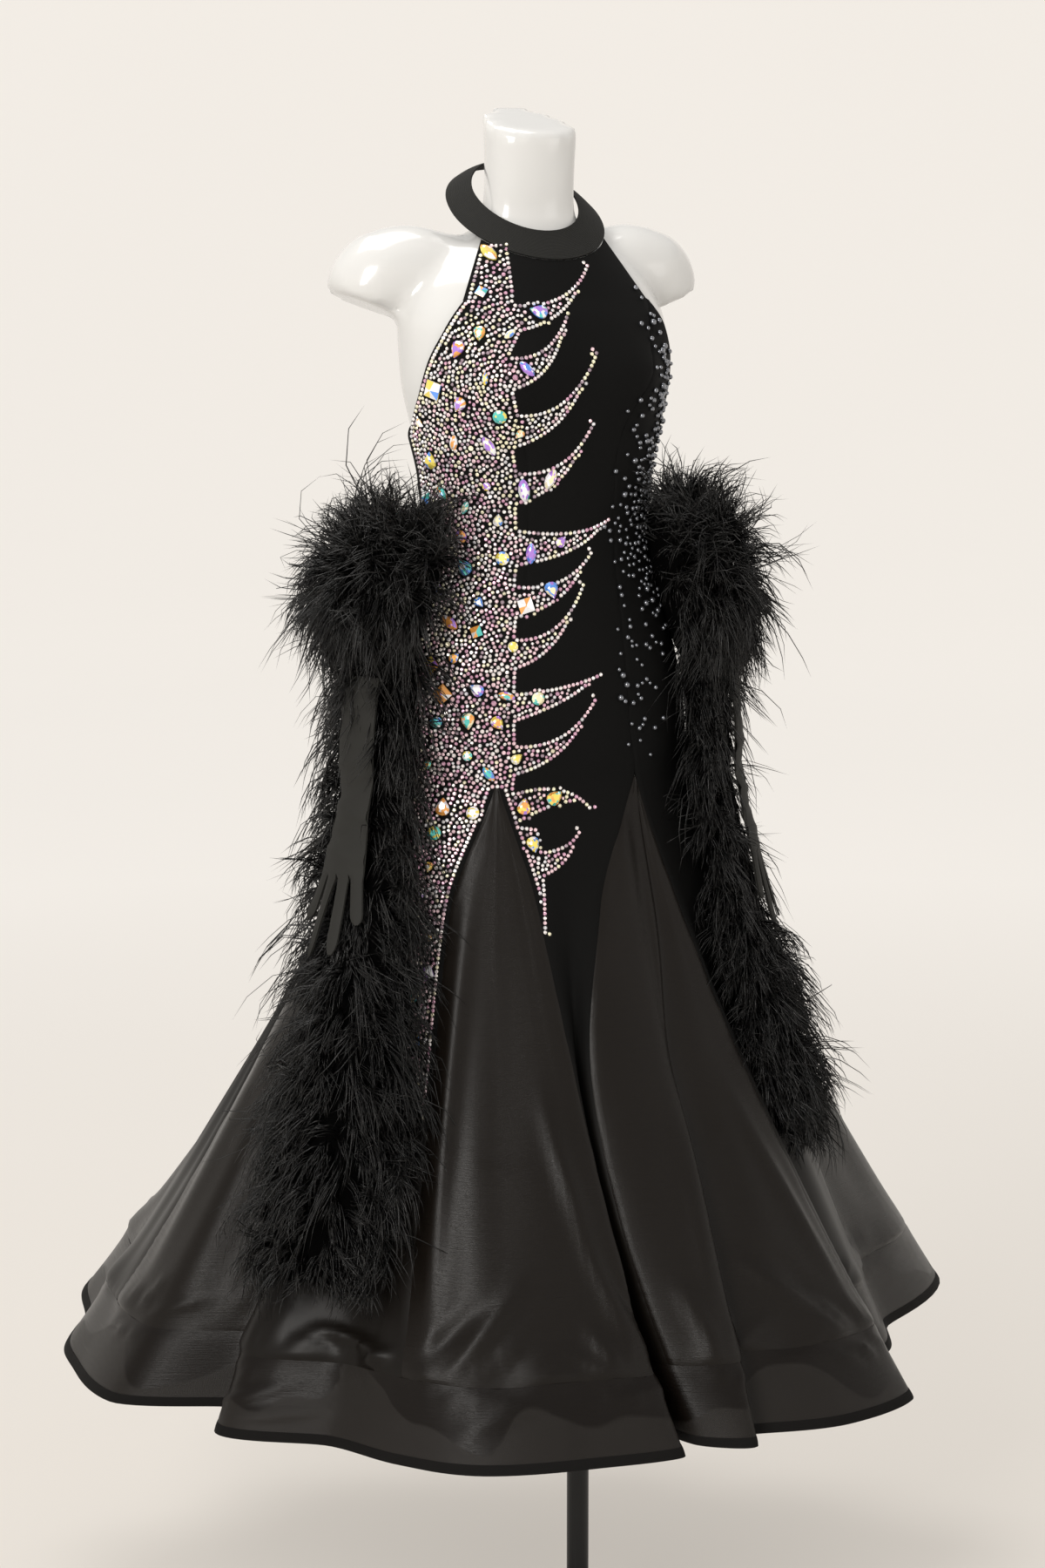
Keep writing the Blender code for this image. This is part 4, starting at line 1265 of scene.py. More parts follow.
def make_stones(paint):
    random = np.random.default_rng(STONE_SEED)
    outline = walk(stone_outline(), OUTLINE_STEP)
    large, kinds, halves, large_turns = pick_large(random, outline)
    ground = Ground(STONE_CELL)
    long_way = np.stack((-np.sin(large_turns), np.cos(large_turns)), -1)
    for spot, half, kind, way in zip(large, halves, kinds, long_way):
        for along, room in LARGE_ROOM[kind]:
            ground.take(spot + way * along * half, room * half)

    placed = pack_small(random, outline, ground)
    spots, ways = settle(placed[:, :2], STONE_LIFT)
    small = cut_stone(round_outline(8), SMALL_LEVELS)
    colours = coat_small(random, placed, len(small[1]))
    stones = set_stones(
        "small_stones", paint, small, spots, tipped(ways, random, SMALL_TIP), placed[:, 2],
        random.uniform(0.0, math.pi, len(placed)), colours,
    )
    hand_in(stones, "crepe")

    shapes = (
        ("drop_stones", cut_stone(drop_outline(14), LARGE_LEVELS)),
        ("navette_stones", cut_stone(navette_outline(12), LARGE_LEVELS)),
        ("square_stones", cut_stone(square_outline(8), SQUARE_LEVELS)),
        ("round_stones", cut_stone(round_outline(12), LARGE_LEVELS)),
    )
    for kind, (name, shape) in enumerate(shapes):
        mine = kinds == kind
        spots, ways = settle(large[mine], STONE_LIFT)
        colours = coat_large(random, len(spots), len(shape[1]))
        stones = set_stones(
            name, paint, shape, spots, tipped(ways, random, LARGE_TIP), halves[mine],
            large_turns[mine], colours,
        )
        hand_in(stones, "crepe")


BEAD_SEED = 11
BEAD_RADII = (0.0023, 0.0029, 0.0036)
BEAD_SHARES = (0.45, 0.42, 0.13)
# the beads keep between these angles and heights, and this many degrees from the armhole
BEAD_FIRST = 17.0
BEAD_LAST = 88.0
BEAD_LOW = 0.842
BEAD_HIGH = 1.36
BEAD_MARGIN = 3.0
BEAD_GAP = 0.0003
BEAD_CELL = 0.008
# beads: angle and height of the middle of a patch, spread in degrees, spread in height, beads
BEAD_PATCHES = (
    (58.0, 1.100, 14.0, 0.048, 300),
    (42.0, 1.080, 12.0, 0.060, 80),
    (40.0, 0.945, 8.0, 0.055, 46),
    (60.0, 1.205, 7.0, 0.040, 90),
    (56.0, 1.290, 8.0, 0.034, 26),
    (36.0, 1.230, 14.0, 0.070, 16),
)


def make_beads(paint):
    random = np.random.default_rng(BEAD_SEED)
    ground = Ground(BEAD_CELL)
    placed = []
    for angle, height, spread, tall, count in BEAD_PATCHES:
        turns = angle + spread * random.normal(size=count)
        heights = height + tall * random.normal(size=count)
        radii = random.choice(BEAD_RADII, count, p=BEAD_SHARES)
        for turn, level, radius in zip(turns, heights, radii):
            arm = read_column(ARMHOLE, 1, min(level, HALTER_START)) - BEAD_MARGIN
            if not (BEAD_FIRST < turn < min(arm, BEAD_LAST) and BEAD_LOW < level < BEAD_HIGH):
                continue
            spot = (float(arc_of(np.array(turn), np.array(level))), level)
            if ground.settles(spot, radius + BEAD_GAP):
                placed.append((*spot, radius))
    placed = np.array(placed)
    spots, ways = settle(placed[:, :2], STONE_LIFT)
    bead = cut_stone(round_outline(10), BEAD_LEVELS)
    beads = set_stones(
        "side_beads", paint, bead, spots, ways, placed[:, 2], np.zeros(len(placed)), None
    )
    beads.data.shade_smooth()
    hand_in(beads, "crepe")


# ---- feathers -------------------------------------------------------------------------------
FEATHER_SEED = 23
STRAND_ROOT = 0.00080       # radius of a strand where it starts
STRAND_STEPS = (0.0, 0.24, 0.50, 0.76, 1.0)
STRAND_TAPER = 0.62
BEND_CUTS = 26              # steps in which a strand's bend is worked out
# the dark heart is painted shade: a near black body for the shade deep in the feathers, around the cord
CORE_SHARE = 0.62           # the dark heart of a trim, as a share of its thickness
CORE_INNER = 1.24           # it lies close to the cloth on its inner side
CORE_SIDE = 0.76
ROOT_SHARE = 0.72           # where the strands start, as a share of the trim's thickness

# plumes: name, heart, node, trim, tufts, strands in a tuft, shortest, longest, fall, lift at the top
PLUMES = (
    ("cuff_plumes_right", "cuff_heart_right", "feather_cuff_right", CUFF_RIGHT,
     780, 7, 0.036, 0.086, 1.00, 1.0),
    ("boa_plumes_right", "boa_heart_right", "feather_boa_right", BOA_RIGHT,
     1280, 7, 0.040, 0.092, 1.15, 0.0),
    ("cuff_plumes_left", "cuff_heart_left", "feather_cuff_left", CUFF_LEFT,
     760, 7, 0.036, 0.084, 1.00, 1.0),
    ("boa_plumes_left", "boa_heart_left", "feather_boa_left", BOA_LEFT,
     1040, 7, 0.038, 0.086, 1.15, 0.0),
)
INNER_PART = 0.14           # part of the tufts on the side towards the cloth
INNER_SHARE = 0.45          # and their share of the others' length
EDGE_PART = 0.24            # part of the tufts along the trim's two edges
CUFF_FOOT = 0.004           # the lowest tufts of a cuff, above its foot
BOA_FOOT = 0.026            # and of a boa
HEART_ROWS = 30
HEART_CUTS = 24
HEART_FOOT = 0.034          # a boa's heart ends this far above its foot
# strands lie flat and short where a glove hangs over them: heights, half width
GLOVE_ZONE = (0.660, 0.915)
GLOVE_ROOM = 0.032
LONG_PART = 0.14            # part of the tufts that are half as long again
TUFT_CURL = 0.62            # spread of the curl that the strands of a tuft share
OWN_CURL = 0.26             # and of each strand's own
CURL_MOST = 0.85            # a strand curls no more than this
CLUMP_SPREAD = 0.10         # how far the strands of a tuft spread
FLYAWAYS = 0.05             # part of the strands that stray further
FLYAWAY_SPREAD = 0.40
ROOT_SPREAD = 0.0024


def trim_sizes(trim, height):
    table = np.array(trim)[::-1]
    return [read_column(table, k, height) for k in (1, 2, 3)]


def trim_point(trim, height, turn, share, deep=None):
    """A point of a trim: turn goes round its section, share goes out from its middle; deep is the
    share outwards from the cloth where it is not the same."""
    deep = share if deep is None else deep
    middle, half, thick = trim_sizes(trim, height)
    across = half * np.cos(turn) * share
    angle = middle + np.degrees(across / read_skin(SKIN, middle, height))
    out = FLOAT_CLEAR + thick * (0.5 + 0.5 * np.sin(turn) * deep)
    return around(read_skin(SKIN, angle, height) + out, angle, height)


def core_of(trim, foot_gap):
    """Points and faces of a trim's dark heart, painted shade around its cord, closed at both ends; it
    stops short of the trim's foot by a gap."""
    heights = np.linspace(trim[-1][0] + foot_gap, trim[0][0], HEART_ROWS)
    turns = turns_round(HEART_CUTS)
    grid_turn, grid_height = np.meshgrid(turns, heights)
    deep = np.where(np.sin(-grid_turn) < 0.0, CORE_INNER, CORE_SHARE)
    points = trim_point(trim, grid_height, -grid_turn, CORE_SIDE, deep)
    faces = grid_faces(len(heights), len(turns), 0, closed=True, turned=True)
    ring = list(range(len(turns)))
    top = (len(heights) - 1) * len(turns)
    faces.append(tuple(ring))
    faces.append(tuple(top + i for i in reversed(ring)))
    return points.reshape(-1, 3), faces


def grow_strands(roots, ways, down, reach, fall, curl, thick):
    """Points and faces of tapering three-sided strands that bend over and hook at their fine tips."""
    marks = np.linspace(0.0, 1.0, BEND_CUTS)[:, None, None]
    droop = down * (fall[:, None] * marks ** 0.9)
    heading = unit(ways * (1.0 - marks) ** 1.4 + droop + curl * marks ** 1.6)
    run = np.cumsum(heading[1:] + heading[:-1], axis=0) / 2.0
    run = np.concatenate((np.zeros((1,) + roots.shape), run))
    picks = np.round(np.array(STRAND_STEPS) * (BEND_CUTS - 1)).astype(int)
    path = roots + run[picks] / (BEND_CUTS - 1) * reach[:, None]
    ahead = unit(np.gradient(path, axis=0))
    side = unit(np.cross(ahead, np.array((0.31, 0.52, 0.79))))
    over = np.cross(ahead, side)
    rings = []
    for step in range(len(STRAND_STEPS) - 1):
        radius = thick * (1.0 - STRAND_TAPER * STRAND_STEPS[step])
        for corner in range(3):
            turn = 2.0 * math.pi * corner / 3.0
            rings.append(path[step] + radius[:, None] * (
                side[step] * math.cos(turn) + over[step] * math.sin(turn)
            ))
    rings.append(path[-1])
    points = np.stack(rings, 1)
    count = points.shape[1]
    sides = []
    for step in range(len(STRAND_STEPS) - 2):
        for corner in range(3):
            after = (corner + 1) % 3
            low, high = step * 3, step * 3 + 3
            sides.append((low + corner, low + after, high + after, high + corner))
    last = (len(STRAND_STEPS) - 2) * 3
    ends = [(last + corner, last + (corner + 1) % 3, count - 1) for corner in range(3)]
    ends.append((2, 1, 0))
    starts = np.arange(len(roots))[:, None, None] * count
    faces = (np.array(sides)[None] + starts).reshape(-1, 4).tolist()
    faces += (np.array(ends)[None] + starts).reshape(-1, 3).tolist()
    return points.reshape(-1, 3), faces


def tufts_of(random, trim, tufts, shortest, longest, fall, lift):
    """Roots, directions, falls and lengths of the tufts of a trim."""
    heights = np.array(trim)[:, 0]
    foot, top = heights.min(), heights.max()
    level = random.uniform(foot + (CUFF_FOOT if lift else BOA_FOOT), top - 0.003, tufts)
    turn = np.arccos(random.uniform(-1.0, 1.0, tufts))
    edge = math.pi * random.integers(0, 2, tufts) + random.normal(0.0, 0.45, tufts)
    turn = np.where(random.random(tufts) < EDGE_PART, edge, turn)
    inner = random.random(tufts) < INNER_PART
    turn = np.where(inner, -turn, turn)
    root = trim_point(trim, level, turn, ROOT_SHARE)
    outward = unit(root - trim_point(trim, level, turn, 0.0))
    below = trim_point(trim, level - 0.01, turn, 0.7)
    slope = unit(below - trim_point(trim, level + 0.01, turn, 0.7))
    high = (level - foot) / (top - foot)
    rise = lift * np.clip((high - 0.40) * 2.6, -1.0, 1.2)
    hang = 0.10 * (1.0 - np.clip(rise, 0.0, 1.0))
    way = outward + random.normal(0.0, 0.42, (tufts, 3)) + slope * (hang - rise)[:, None]
    reach = random.uniform(shortest, longest, tufts) * np.where(inner, INNER_SHARE, 1.0)
    reach *= np.where(random.random(tufts) < LONG_PART, 1.45, 1.0)
    if not lift:
        reach *= np.clip(0.40 + (level - foot) / 0.16, 0.0, 1.0)
    half = trim_sizes(trim, level)[1]
    # long strands of a cuff hang over the top of its glove
    apron = (lift > 0.0) & (high < 0.30) & (np.sin(turn) > -0.3)
    apron_way = outward * 0.50 + slope + random.normal(0.0, 0.22, (tufts, 3))
    way = np.where(apron[:, None], apron_way, way)
    reach = np.where(apron, reach * 1.15, reach)
    under_glove = (GLOVE_ZONE[0] < level) & (level < GLOVE_ZONE[1]) & ~inner
    under_glove &= (np.abs(half * np.cos(turn)) < GLOVE_ROOM) & (lift == 0.0)
    reach = np.where(under_glove, reach * 0.50, reach)
    way = np.where(under_glove[:, None], outward * 0.10 + slope, way)
    falls = fall * random.uniform(0.50, 1.60, tufts) * (1.0 - 0.9 * np.clip(rise, 0.0, 1.0))
    down = unit(slope + np.array((0.0, 0.0, -0.35)))
    return root, unit(way), down, reach, falls


def make_plumes(paint, heart_paint):
    random = np.random.default_rng(FEATHER_SEED)
    for name, heart_name, node, trim, tufts, strands, shortest, longest, fall, lift in PLUMES:
        root, tuft_way, down, tuft_reach, tuft_fall = tufts_of(
            random, trim, tufts, shortest, longest, fall, lift
        )
        tuft_curl = random.normal(0.0, TUFT_CURL, (tufts, 3))
        tuft = np.repeat(np.arange(tufts), strands)
        count = len(tuft)
        flyaway = random.random(count) < FLYAWAYS
        spread = np.where(flyaway, FLYAWAY_SPREAD, CLUMP_SPREAD)[:, None]
        ways = unit(tuft_way[tuft] + random.normal(0.0, 1.0, (count, 3)) * spread)
        reach = tuft_reach[tuft] * random.uniform(0.50, 1.10, count) * np.where(flyaway, 1.12, 1.0)
        falls = tuft_fall[tuft] * np.where(flyaway, 0.60, 1.0)
        curl = tuft_curl[tuft] + random.normal(0.0, OWN_CURL, (count, 3))
        curl -= ways * np.minimum(0.0, (curl * ways).sum(1))[:, None]
        curl *= np.minimum(1.0, CURL_MOST / np.linalg.norm(curl, axis=1))[:, None]
        roots = root[tuft] + random.normal(0.0, ROOT_SPREAD, (count, 3))
        thick = STRAND_ROOT * random.uniform(0.65, 1.35, count)
        strands_made = grow_strands(roots, ways, down[tuft], reach, falls, curl, thick)
        plumes = add_piece(name, *strands_made, paint)
        plumes.data.shade_smooth()
        hand_in(plumes, "feather", node)
        heart = add_piece(heart_name, *core_of(trim, 0.0 if lift else HEART_FOOT), heart_paint)
        heart.data.shade_smooth()
        hand_in(heart, "feather")


# ---- gloves ---------------------------------------------------------------------------------
GLOVE_CRUMPLE = 1.8         # how much stronger the upper side's wrinkles are than their table says
GLOVE_ROWS = 44
FINGER_ROWS = 14
FINGER_CUTS = 4
GLOVE_PLACES = (
    ("glove_right", -78.0, 0.062),
    ("glove_left", 72.0, 0.061),
)
# wrinkles of the empty arm: height, lean, half width, depth
WRINKLES = (
    (0.915, 0.25, 0.0045, 0.0011),
    (0.884, -0.30, 0.0050, -0.0010),
    (0.853, 0.15, 0.0040, 0.0013),
    (0.826, 0.42, 0.0048, -0.0011),
    (0.801, -0.18, 0.0038, 0.0013),
    (0.779, 0.35, 0.0042, -0.0009),
    (0.757, -0.12, 0.0050, 0.0010),
)


def glove_spots(middle, out, bulge, across, half, height, crumple):
    swell = bulge * (1.0 - (across / half) ** 2)
    for level, lean, width, depth in WRINKLES:
        swell = swell + crumple * depth * bell(height - level - lean * across, width)
    base = read_skin(SKIN, np.full(np.shape(across), middle), height)
    angle = middle + np.degrees(across / (base + out))
    return around(read_skin(SKIN, angle, height) + out + swell, angle, height)


def glove_mesh(middle, out, bulge, crumple):
    """Points and faces of one side of an empty glove: arm, palm and four fingers."""
    table = np.array(GLOVE)[::-1]
    columns = len(FINGERS) * FINGER_CUTS
    heights = np.linspace(table[0, 0], table[-1, 0], GLOVE_ROWS)
    halves = read_column(table, 1, heights)
    span = np.linspace(-1.0, 1.0, columns + 1)
    across = halves[:, None] * span
    tall = np.repeat(heights[:, None], columns + 1, axis=1)
    arm = glove_spots(middle, out, bulge, across, halves[:, None], tall, crumple)
    points = [arm.reshape(-1, 3)]
    faces = grid_faces(GLOVE_ROWS, columns + 1, 0)
    total = GLOVE_ROWS * (columns + 1)
    palm = table[0, 1]
    for number, (tip, length) in enumerate(FINGERS):
        first = number * FINGER_CUTS
        root = palm * (2.0 * (first + FINGER_CUTS / 2.0) / columns - 1.0)
        share = np.linspace(0.0, 1.0, FINGER_ROWS + 1)[1:]
        rounding = np.clip((share - 0.80) / 0.21, 0.0, 1.0)
        half = FINGER_HALF * np.sqrt(np.clip(1.0 - rounding ** 2, 0.02, 1.0))
        half += (palm / len(FINGERS) - FINGER_HALF) * np.clip(1.0 - share / 0.12, 0.0, 1.0)
        middle_line = root + (tip - root) * share
        side = np.linspace(-1.0, 1.0, FINGER_CUTS + 1)
        reach = side * half[:, None]
        level = np.repeat((FINGER_ROOT - length * share)[:, None], FINGER_CUTS + 1, axis=1)
        swell = bulge * 0.5 * (1.0 - side ** 2) * np.ones_like(level)
        base = read_skin(SKIN, np.full(level.shape, middle), level)
        angle = middle + np.degrees((middle_line[:, None] + reach) / (base + out))
        spots = around(read_skin(SKIN, angle, level) + out + swell, angle, level)
        points.append(spots.reshape(-1, 3))
        above = [first + i for i in range(FINGER_CUTS + 1)]
        for row in range(FINGER_ROWS):
            here = [total + row * (FINGER_CUTS + 1) + i for i in range(FINGER_CUTS + 1)]
            faces += [(here[i], here[i + 1], above[i + 1], above[i]) for i in range(FINGER_CUTS)]
            above = here
        total += FINGER_ROWS * (FINGER_CUTS + 1)
    return np.concatenate(points), faces


def apply_modifiers(thing):
    bpy.ops.object.select_all(action="DESELECT")
    bpy.context.view_layer.objects.active = thing
    thing.select_set(True)
    for modifier in list(thing.modifiers):
        bpy.ops.object.modifier_apply(modifier=modifier.name)
    thing.select_set(False)


def make_gloves(paint):
    for name, middle, out in GLOVE_PLACES:
        front = out + GLOVE_CLOTH + SEAM_GAP
        sides = (("under", out, 0.0, 0.0), ("upper", front, GLOVE_BULGE, GLOVE_CRUMPLE))
        for side, place, bulge, crumple in sides:
            points, faces = glove_mesh(middle, place, bulge, crumple)
            glove = add_piece(name + "_" + side + "_mesh", points, faces, paint)
            wall = glove.modifiers.new("cloth", "SOLIDIFY")
            wall.thickness = GLOVE_CLOTH
            wall.offset = 0.0
            wall.use_even_offset = True
            apply_modifiers(glove)
            smooth_faces(glove.data)
            hand_in(glove, "glove", name + "_" + side)


# ---- dress form -----------------------------------------------------------------------------
FORM_VOXEL = 0.0075
FORM_CUTS = 120
FORM_ROWS = 150
SLANT_DEPTH = 0.030         # the neck's slanting top is drawn out of this much of its height
STUB_CUTS = 64
STUB_ROWS = 60


def closed_loft(rings):
    """Points and faces of a closed body through rings of equal count, from foot to top."""
    rows, columns = rings.shape[:2]
    faces = grid_faces(rows, columns, 0, closed=True)
    faces.append(tuple(reversed(range(columns))))
    faces.append(tuple(range((rows - 1) * columns, rows * columns)))
    return rings.reshape(-1, 3), faces


def torso_rings():
    heights = np.linspace(FIGURE[0, 0], NECK_TOP, FORM_ROWS)
    turns = np.linspace(-180.0, 180.0, FORM_CUTS, endpoint=False)
    turn, height = np.meshgrid(turns, heights)
    rings = around(figure_radius(height, turn, FORM_BUST_FORWARD), turn, height)
    slant = np.clip((height - (NECK_TOP - SLANT_DEPTH)) / SLANT_DEPTH, 0.0, 1.0)
    rings[..., 2] += NECK_SLANT * rings[..., 1] * slant
    return rings


def stub_rings(side):
    share = np.linspace(STUB[0, 0], STUB[-1, 0], STUB_ROWS)
    back, height, lean, half_height, half_depth = [
        read_column(STUB, k, share)[:, None] for k in range(1, 6)
    ]
    turn = turns_round(STUB_CUTS)[None, :] * side
    up = half_height * np.cos(turn)
    tipped_by = np.radians(lean)
    x = share[:, None] + up * np.sin(tipped_by)
    return np.stack((side * x, back + half_depth * np.sin(turn), height + up * np.cos(tipped_by)), -1)


def make_form(paint):
    points, faces = closed_loft(torso_rings())
    for side in (-1.0, 1.0):
        more, more_faces = closed_loft(stub_rings(side))
        faces = faces + [tuple(corner + len(points) for corner in face) for face in more_faces]
        points = np.concatenate((points, more))
    form = add_piece("torso_form", points, faces, paint)
    shape = bmesh.new()
    shape.from_mesh(form.data)
    bmesh.ops.recalc_face_normals(shape, faces=shape.faces)
    shape.to_mesh(form.data)
    shape.free()
    skin = form.modifiers.new("skin", "REMESH")
    skin.mode = "VOXEL"
    skin.voxel_size = FORM_VOXEL
    round_off = form.modifiers.new("round_off", "SMOOTH")
    round_off.factor = 0.5
    round_off.iterations = 5
    apply_modifiers(form)
    form.data.shade_smooth()
    return hand_in(form, "form_shell", "dress_form")


# ---- finishes -------------------------------------------------------------------------------
class Sum:
    """A value in a material, on which arithmetic can be written."""

    def __init__(self, finish, socket):
        self.finish = finish
        self.socket = socket

    def reckon(self, operation, first, second):
        return self.finish.node("ShaderNodeMath", {"operation": operation}, {0: first, 1: second})

    def __add__(self, other):
        return self.reckon("ADD", self, other)

    def __radd__(self, other):
        return self.reckon("ADD", other, self)

    def __sub__(self, other):
        return self.reckon("SUBTRACT", self, other)

    def __rsub__(self, other):
        return self.reckon("SUBTRACT", other, self)

    def __mul__(self, other):
        return self.reckon("MULTIPLY", self, other)


class Finish:
    """A material on its Principled shader."""

    def __init__(self, name):
        self.material = bpy.data.materials.new(name)
        self.material.use_nodes = True
        self.tree = self.material.node_tree
        self.shader = self.tree.nodes["Principled BSDF"]

    def feed(self, socket, value):
        if isinstance(value, Sum):
            self.tree.links.new(value.socket, socket)
        else:
            socket.default_value = value

    def node(self, kind, settings=None, inputs=None, output=0):
        """Any node: its type, its settings and what its sockets are given."""
        made = self.tree.nodes.new(kind)
        for key, value in (settings or {}).items():
            setattr(made, key, value)
        for key, value in (inputs or {}).items():
            self.feed(made.inputs[key], value)
        return Sum(self, made.outputs[output])

    def set(self, **values):
        """Sets sockets of the shader, a name's underscores standing for spaces; returns the material."""
        for name, value in values.items():
            self.feed(self.shader.inputs[name.replace("_", " ")], value)
        return self.material

    def weave_place(self, across, along):
        """Coordinates along the cloth, across and along the panel, in threads."""
        place = self.node("ShaderNodeUVMap", {"uv_map": "weave"})
        return self.node("ShaderNodeMapping", {}, {"Vector": place, "Scale": (across, along, 1.0)})

    def object_place(self, scale=(1.0, 1.0, 1.0)):
        place = self.node("ShaderNodeTexCoord", {}, {}, "Object")
        return self.node("ShaderNodeMapping", {}, {"Vector": place, "Scale": scale})

    def noise(self, place, scale, detail=3.0, output="Fac"):
        inputs = {"Vector": place, "Scale": scale, "Detail": detail}
        return self.node("ShaderNodeTexNoise", {}, inputs, output)

    def wave(self, place, scale, direction="X", distortion=0.0):
        settings = {"wave_type": "BANDS", "bands_direction": direction}
        inputs = {"Vector": place, "Scale": scale, "Distortion": distortion}
        return self.node("ShaderNodeTexWave", settings, inputs)

    def axis(self, place, name):
        return self.node("ShaderNodeSeparateXYZ", {}, {"Vector": place}, name)

    def ramp(self, value, start, end):
        """A value's share of the way from start to end, kept between 0 and 1."""
        inputs = {"Value": value, "From Min": start, "From Max": end, "To Min": 0.0, "To Max": 1.0}
        return self.node("ShaderNodeMapRange", {"clamp": True}, inputs)

    def mix(self, share, first, second):
        return self.node("ShaderNodeMix", {"data_type": "RGBA"}, {0: share, 6: first, 7: second}, 2)

    def bump(self, height, strength, distance):
        inputs = {"Strength": strength, "Distance": distance, "Height": height}
        return self.node("ShaderNodeBump", {}, inputs, "Normal")


def shade(red, green, blue):
    return (red, green, blue, 1.0)


# heights on the stand between which the crepe grows glossier and its colour is lightened as painted
# sheen
SHEEN_TOP = 0.72
SHEEN_FOOT = 0.52
# the braid's patches are lightened with painted light coming through them from behind
PATCH_EDGE = (-0.074, -0.078)   # how sharply the hem band's patches of braid begin


def crepe_finish():
    """Matt stretch crepe with a fine crinkle, glossier towards the hem, where its colour is also
    lightened as painted sheen.
    """
    finish = Finish("black_crepe")
    threads = finish.weave_place(1.0, 1.0)
    crinkle = finish.noise(threads, 900.0, 2.0)
    cloud = finish.noise(threads, 14.0, 2.0)
    gloss_and_painted_sheen = finish.ramp(finish.axis(finish.object_place(), "Z"), SHEEN_TOP, SHEEN_FOOT)
    matt = finish.mix(cloud, shade(0.0007, 0.0007, 0.0006), shade(0.0015, 0.0014, 0.0013))
    return finish.set(
        # painted sheen: the colour turns lighter towards the hem; the drop in roughness there is real
        # gloss
        Base_Color=finish.mix(gloss_and_painted_sheen, matt, shade(0.0050, 0.0039, 0.0030)),
        Roughness=0.78 + crinkle * 0.14 - gloss_and_painted_sheen * 0.46,
        Normal=finish.bump(crinkle, 0.25, 0.0003),
        Specular_IOR_Level=0.15,
    )


def satin_threads(finish):
    """A satin's long floats and its slubs of weft."""
    floats = finish.noise(finish.weave_place(260.0, 5200.0), 1.0, 2.0)
    slub = finish.noise(finish.weave_place(18.0, 900.0), 1.0, 2.0)
    return floats, slub


def satin_finish():
    """Black satin with a warm grey sheen."""
    finish = Finish("black_satin")
    floats, slub = satin_threads(finish)
    cloud = finish.noise(finish.weave_place(1.0, 1.0), 9.0, 2.0)
    return finish.set(
        Base_Color=finish.mix(cloud, shade(0.0052, 0.0038, 0.0028), shade(0.0070, 0.0054, 0.0042)),
        Roughness=0.23 + slub * 0.16,
        Normal=finish.bump(floats + slub * 1.6, 0.30, 0.0005),
        Specular_IOR_Level=0.17,
        Anisotropic=0.30,
    )


def hem_band_finish():
    """Satin over stiff open braid, which shows through in uneven patches along the lower part; the
    patches are lightened with painted light, as if lit through the braid from behind.
    """
    finish = Finish("hem_band_satin")
    floats, slub = satin_threads(finish)
    place = finish.weave_place(1.0, 1.0)
    braid = finish.wave(place, 420.0, "DIAGONAL") * finish.wave(
        finish.weave_place(-1.0, 1.0), 420.0, "DIAGONAL"
    )
    patch = finish.noise(finish.weave_place(1.0, 0.25), 6.5, 1.0)
    low = finish.ramp(finish.axis(place, "Y") - patch * 0.22, *PATCH_EDGE)
    return finish.set(
        # painted light: the patches are lighter, standing in for light through the braid; their slight
        # see-through and rougher weave are real
        Base_Color=finish.mix(low, shade(0.0048, 0.0034, 0.0026), shade(0.0120, 0.0102, 0.0088)),
        Roughness=0.23 + slub * 0.16 + low * 0.08,
        Alpha=1.0 - low * (0.02 + braid * 0.08),
        Normal=finish.bump(floats + slub * 1.6 + low * braid, 0.30, 0.0005),
        Specular_IOR_Level=0.15,
        Anisotropic=0.25,
    )


def binding_finish():
    finish = Finish("binding_black")
    # diagonal ribs; the colour darkens into their grooves as painted shade, in step with the bump
    rib_and_painted_shade = finish.wave(finish.weave_place(1.0, 1.0), 700.0, "DIAGONAL", 1.0)
    return finish.set(
        Base_Color=finish.mix(rib_and_painted_shade, shade(0.0066, 0.0062, 0.0060), shade(0.0092, 0.0087, 0.0083)),
        Roughness=0.62 + rib_and_painted_shade * 0.15,
        Normal=finish.bump(rib_and_painted_shade, 0.4, 0.0003),
        Specular_IOR_Level=0.04,
    )


def neck_band_finish():
    """Ribbed stretch cloth of the neck band, darker in the ribs' grooves as painted shade."""
    finish = Finish("neck_band_rib")
    place = finish.weave_place(1.0, 1.0)
    rib_and_painted_shade = finish.wave(place, 190.0, "Y", 0.6)
    fuzz = finish.noise(place, 1500.0, 2.0)
    return finish.set(
        # painted shade: the colour darkens into each rib's groove, in step with the bump
        Base_Color=finish.mix(rib_and_painted_shade, shade(0.0080, 0.0080, 0.0074), shade(0.0170, 0.0168, 0.0152)),
        Roughness=0.72 + fuzz * 0.18,
        Normal=finish.bump(rib_and_painted_shade + fuzz * 0.8, 0.55, 0.0006),
        Specular_IOR_Level=0.18,
    )


def feather_finish():
    """Ostrich flue: near black, with a dry sheen along the strands and painted highlights on scattered
    strands.
    """
    finish = Finish("black_feather")
    fleck = finish.noise(finish.object_place(), 260.0, 2.0)
    # painted highlights: scattered flecks of strands get a lighter colour, as if lit
    painted_strand_glints = finish.ramp(fleck, 0.52, 0.70)
    return finish.set(
        Base_Color=finish.mix(painted_strand_glints, shade(0.0006, 0.0006, 0.0006), shade(0.0165, 0.0150, 0.0142)),
        Roughness=0.30 + fleck * 0.14,
        Specular_IOR_Level=0.42,
    )


